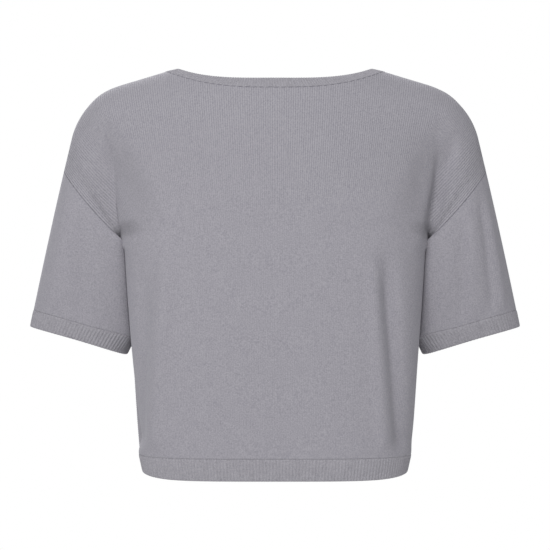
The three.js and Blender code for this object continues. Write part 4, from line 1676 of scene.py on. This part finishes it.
@dataclass
class StitchedSeam:
    """A row of linking stitches in its own thread, which lies in a sunk seam."""

    name: str
    line: np.ndarray
    ring: bool
    tree: bpy.types.NodeTree
    thread: bpy.types.Material
    pitch: float = 2.35
    length: float = 2.6
    thickness: float = 0.7
    slant: float = math.radians(18)
    sunk: float = 0.22

    def build(self) -> bpy.types.Object:
        """Make and dress the row of stitches.

        Returns:
            The stitches.
        """
        whole = lengths_along(self.line[:, :3])[-1]
        line = evenly(self.line, max(8, round(whole / self.pitch)))
        places = line[:, :3] - self.sunk * unit(line[:, 3:6])
        if self.ring:
            places, line = places[:-1], line[:-1]
        count = len(places)
        edges = [(i, (i + 1) % count) for i in range(count if self.ring else count - 1)]
        mesh = bpy.data.meshes.new(self.name)
        mesh.from_pydata((places * MM).tolist(), edges, [])
        carry(mesh, "outwards", unit(line[:, 3:6]))
        piece = bpy.data.objects.new(self.name, mesh)
        bpy.context.collection.objects.link(piece)
        grown(piece, self.tree, {
            "Pitch": self.pitch * MM,
            "Length": self.length * MM,
            "Thickness": self.thickness * MM,
            "Slant": self.slant,
            "Finish": self.thread,
        })
        rest_on_root(piece)
        LOG.info("%s: %.0f mm of stitches", self.name, whole)
        return piece


@dataclass
class CroppedTop:
    """The whole garment: body, sleeves, ribbed bands and linked seams."""

    form: WornForm = field(default_factory=WornForm)
    hem_ribs: int = 120
    cuff_ribs: int = 96
    neck_ribs: int = 220
    hem_side_lift: float = 5.0
    hem_side_power: float = 8.0
    neck_rounding: int = 4

    def hem_line(self, face: Face, z: float, side_lift: float) -> np.ndarray:
        """Places and normals of a line round the hem, from one side seam to the other.

        Args:
            face: The half of the band.
            z: The line's height at the centre.
            side_lift: How much higher it is at the sides.

        Returns:
            Rows of place and normal.
        """
        turns = even_steps(lambda t: self.form.section(face, z, t), 0, 1, CURVE_SAMPLES)
        half = self.form.section(face, z, turns)
        points = np.concatenate([mirrored(half[:0:-1]), half])
        tangent = unit(np.gradient(points, axis=0))
        normals = np.stack([-tangent[:, 1], tangent[:, 0], tangent[:, 2] * 0], axis=-1)
        normals *= face.value
        normals[0], normals[-1] = (-1, 0, 0), (1, 0, 0)
        points[:, 2] += side_lift * np.abs(points[:, 0] / half[-1, 0]) ** self.hem_side_power
        return np.concatenate([points, unit(normals)], axis=1)

    def neck_ring(self, panels: dict) -> np.ndarray:
        """Places and normals round the neck hole, back then front, ending where it starts."""
        back = panels[Face.BACK].neck_line()
        front = panels[Face.FRONT].neck_line()[::-1]
        return np.concatenate([back, front[1:]])

    def neckband_edge(self, ring: np.ndarray) -> np.ndarray:
        """Places and normals of the neckband's free edge, above each point of the ring.

        Args:
            ring: Rows of place and normal round the neck hole.

        Returns:
            Rows of place and normal.
        """
        places = ring[:, :3]
        around = np.concatenate([places[-2:-1], places, places[1:2]])
        tangent = unit(around[2:] - around[:-2])
        lean = np.array([NECK_CURVES[Face.BACK if y > 0 else Face.FRONT].band_lean for y in places[:, 1]])
        aside = np.minimum(1, np.abs(places[:, 0]) / NECK_FOOT_X) ** 2
        lean = mixed(lean, NECKBAND_SHOULDER_LEAN, aside)[:, None]
        way = np.cross(tangent, (0, 0, 1))
        way[:, 2] = 0
        way = unit(way) * -np.sign((way * places).sum(axis=1, keepdims=True))
        way = way * np.cos(lean) + np.array((0, 0, 1)) * np.sin(lean)
        normals = unit(np.cross(tangent, way))
        normals *= np.sign((normals * ring[:, 3:6]).sum(axis=1, keepdims=True))
        edge = places + way * NECKBAND_WIDTH
        for _ in range(self.neck_rounding):
            beside = np.concatenate([edge[-2:-1], edge, edge[1:2]])
            edge = (beside[:-2] + 2 * edge + beside[2:]) / 4
        return np.concatenate([edge, normals], axis=1)

    def cuff_line(self, arm: Arm, back: float) -> np.ndarray:
        """Places and normals round a sleeve, at a distance up from its edge.

        Args:
            arm: The arm.
            back: The distance.

        Returns:
            Rows of place and normal.
        """
        form = self.form
        turn = np.linspace(0, 2 * math.pi, CURVE_SAMPLES + 1)
        along = form.cuff_edge_along(turn) - back
        normals = form.tube_normals(form.sleeve_points, along - 1, turn)
        line = np.concatenate([form.sleeve_points(along, turn), normals], axis=1)
        return line if arm is Arm.LEFT else mirrored(line)

    def bands(self, panels: dict, tree: bpy.types.NodeTree) -> list[RibbedBand]:
        """The ribbed bands of hem, neck and cuffs.

        Args:
            panels: The two panels, by face.
            tree: The Geometry Nodes that raise the ribs.

        Returns:
            The bands.
        """
        ring = self.neck_ring(panels)
        edge = self.neckband_edge(ring)
        found = [RibbedBand(
            "neckband_rib", "neckband", ring, edge, self.neck_ribs, True, tree,
            relief=0.6, seam_depth=0.5,
        )]
        for face in Face:
            seam = self.hem_line(face, HEM_SEAM_Z, 0.0)
            lines = (seam, self.hem_line(face, HEM_EDGE_Z, self.hem_side_lift))
            name = f"hem_band_{face.word}"
            found.append(RibbedBand(f"{name}_rib", name, *lines, self.hem_ribs, False, tree))
        for arm in Arm:
            lines = [self.cuff_line(arm, back) for back in (CUFF_WIDTH, 0.0)]
            name = f"cuff_{arm.word}"
            found.append(RibbedBand(f"{name}_rib", name, *lines, self.cuff_ribs, True, tree))
        return found

    def seams(self, panels: dict, tree: bpy.types.NodeTree, finishes: Finishes) -> list[StitchedSeam]:
        """The linked seams, at the neck, the shoulders, the arms and the sides.

        Args:
            panels: The two panels, by face.
            tree: The Geometry Nodes that lay the stitches.
            finishes: The garment's finishes.

        Returns:
            The seams.
        """
        # The neck's stitches are drawn longer than real ones, which are too fine to show
        # The neck's thread carries painted shadow of the groove under the neckband
        found = [StitchedSeam(
            "neck_linking_painted_shade", self.neck_ring(panels), True, tree, finishes.neck_linking_painted_shade,
            pitch=8.2, length=7.4, thickness=1.1, slant=math.radians(3), sunk=0.1,
        )]
        back, front = panels[Face.BACK], panels[Face.FRONT]
        for arm in Arm:
            side = (slice(None), -1 if arm is Arm.LEFT else 0, slice(0, 6))
            rise = back.body_rows
            up, down = back.grid[side][rise:], front.grid[side][rise:][::-1]
            top = back.grid[-1, back.columns + back.neck_columns :, :6]
            top = top if arm is Arm.LEFT else mirrored(top)
            for place, line, ring in (
                ("armhole", np.concatenate([up, down[1:]]), True),
                ("side", back.grid[side][: rise + 1], False),
                ("shoulder", top, False),
            ):
                name = f"{place}_linking_{arm.word}"
                found.append(StitchedSeam(name, line, ring, tree, finishes.linking))
        return found

    def build(self) -> None:
        """Make every piece."""
        finishes = Finishes()
        panels = {face: Panel(face, self.form) for face in Face}
        for panel in panels.values():
            panel.build(finishes)
        for arm in Arm:
            Sleeve(arm, self.form).build(finishes)
        for band in self.bands(panels, RibReliefTree().build()):
            band.build(finishes)
        for seam in self.seams(panels, StitchRowTree().build(), finishes):
            seam.build()


class Lamp(NamedTuple):
    """A soft light: its way round from the camera to the wearer's left, and its place there."""

    name: str
    azimuth: float
    height: float
    distance: float
    power: float


@dataclass
class Studio:
    """White surroundings, a soft light behind and before the top, and a level camera behind."""

    camera_distance: float = 2.35
    frame_width: float = 0.6435
    eye_height: float = -0.2328
    sensor: float = 36.0
    floor_height: float = -1.4
    floor_half: float = 4.0
    wall_colour: str = "#FFFFFF"
    paper_colour: str = "#FEFEFE"
    wall_light: float = 0.435
    lamps: tuple = (
        Lamp("key_light", 12, 1.8, 2.6, 90.0),
        Lamp("front_light", 168, 1.8, 2.6, 80.0),
    )
    lamp_size: float = 1.6

    def build(self) -> None:
        """Make floor, surroundings, lights and camera."""
        self.surroundings()
        self.floor()
        for lamp in self.lamps:
            self.light(lamp)
        self.camera()

    def surroundings(self) -> None:
        """White walls that look white from everywhere, and light the top less than the lamps do."""
        world = bpy.data.worlds.new("white_studio")
        world.use_nodes = True
        tree = world.node_tree
        wall = tree.nodes["Background"]
        wall.inputs["Color"].default_value = linear(self.wall_colour)
        seen = add(tree, "ShaderNodeLightPath", {}, {}).outputs["Is Camera Ray"]
        strength = add(
            tree, "ShaderNodeMapRange", {"To Min": self.wall_light, "To Max": 1.0}, {"Value": seen}
        ).outputs[0]
        tree.links.new(strength, wall.inputs["Strength"])
        bpy.context.scene.world = world
        bpy.context.scene.view_settings.view_transform = "Standard"

    def floor(self) -> None:
        """A plain pale floor of matt paper, well below the hem as under a standing wearer."""
        half, z = self.floor_half, self.floor_height
        mesh = bpy.data.meshes.new("studio_floor")
        corners = [(-half, -half, z), (half, -half, z), (half, half, z), (-half, half, z)]
        mesh.from_pydata(corners, [], [(0, 1, 2, 3)])
        material = bpy.data.materials.new("pale_paper")
        material.use_nodes = True
        shader = material.node_tree.nodes["Principled BSDF"]
        set_inputs(shader, {
            "Base Color": linear(self.paper_colour), "Roughness": 1.0, "Specular IOR Level": 0.0,
        })
        mesh.materials.append(material)
        floor = bpy.data.objects.new("studio_floor", mesh)
        bpy.context.collection.objects.link(floor)

    def light(self, lamp: Lamp) -> None:
        """A large soft light, aimed at the middle of the top.

        Args:
            lamp: Its place and power.
        """
        light = bpy.data.lights.new(lamp.name, "AREA")
        light.energy = lamp.power
        light.size = self.lamp_size
        made = bpy.data.objects.new(lamp.name, light)
        side = math.radians(lamp.azimuth)
        reach = Vector((math.sin(side) * lamp.distance, math.cos(side) * lamp.distance, lamp.height))
        made.location = reach + Vector((0, 0, self.eye_height))
        made.rotation_euler = (-reach).to_track_quat("-Z", "Y").to_euler()
        bpy.context.collection.objects.link(made)

    def camera(self) -> None:
        """A level camera behind the wearer, as the photograph was taken."""
        lens = bpy.data.cameras.new("photo_camera")
        lens.sensor_width = self.sensor
        lens.lens = self.sensor * self.camera_distance / self.frame_width
        camera = bpy.data.objects.new("photo_camera", lens)
        camera.location = (0, self.camera_distance, self.eye_height)
        camera.rotation_euler = (math.pi / 2, 0, math.pi)
        bpy.context.collection.objects.link(camera)
        bpy.context.scene.camera = camera


def main() -> None:
    """Build the top and its studio."""
    logging.basicConfig(level=logging.INFO, format="%(message)s")
    Studio().build()
    CroppedTop().build()


if __name__ == "__main__":
    main()
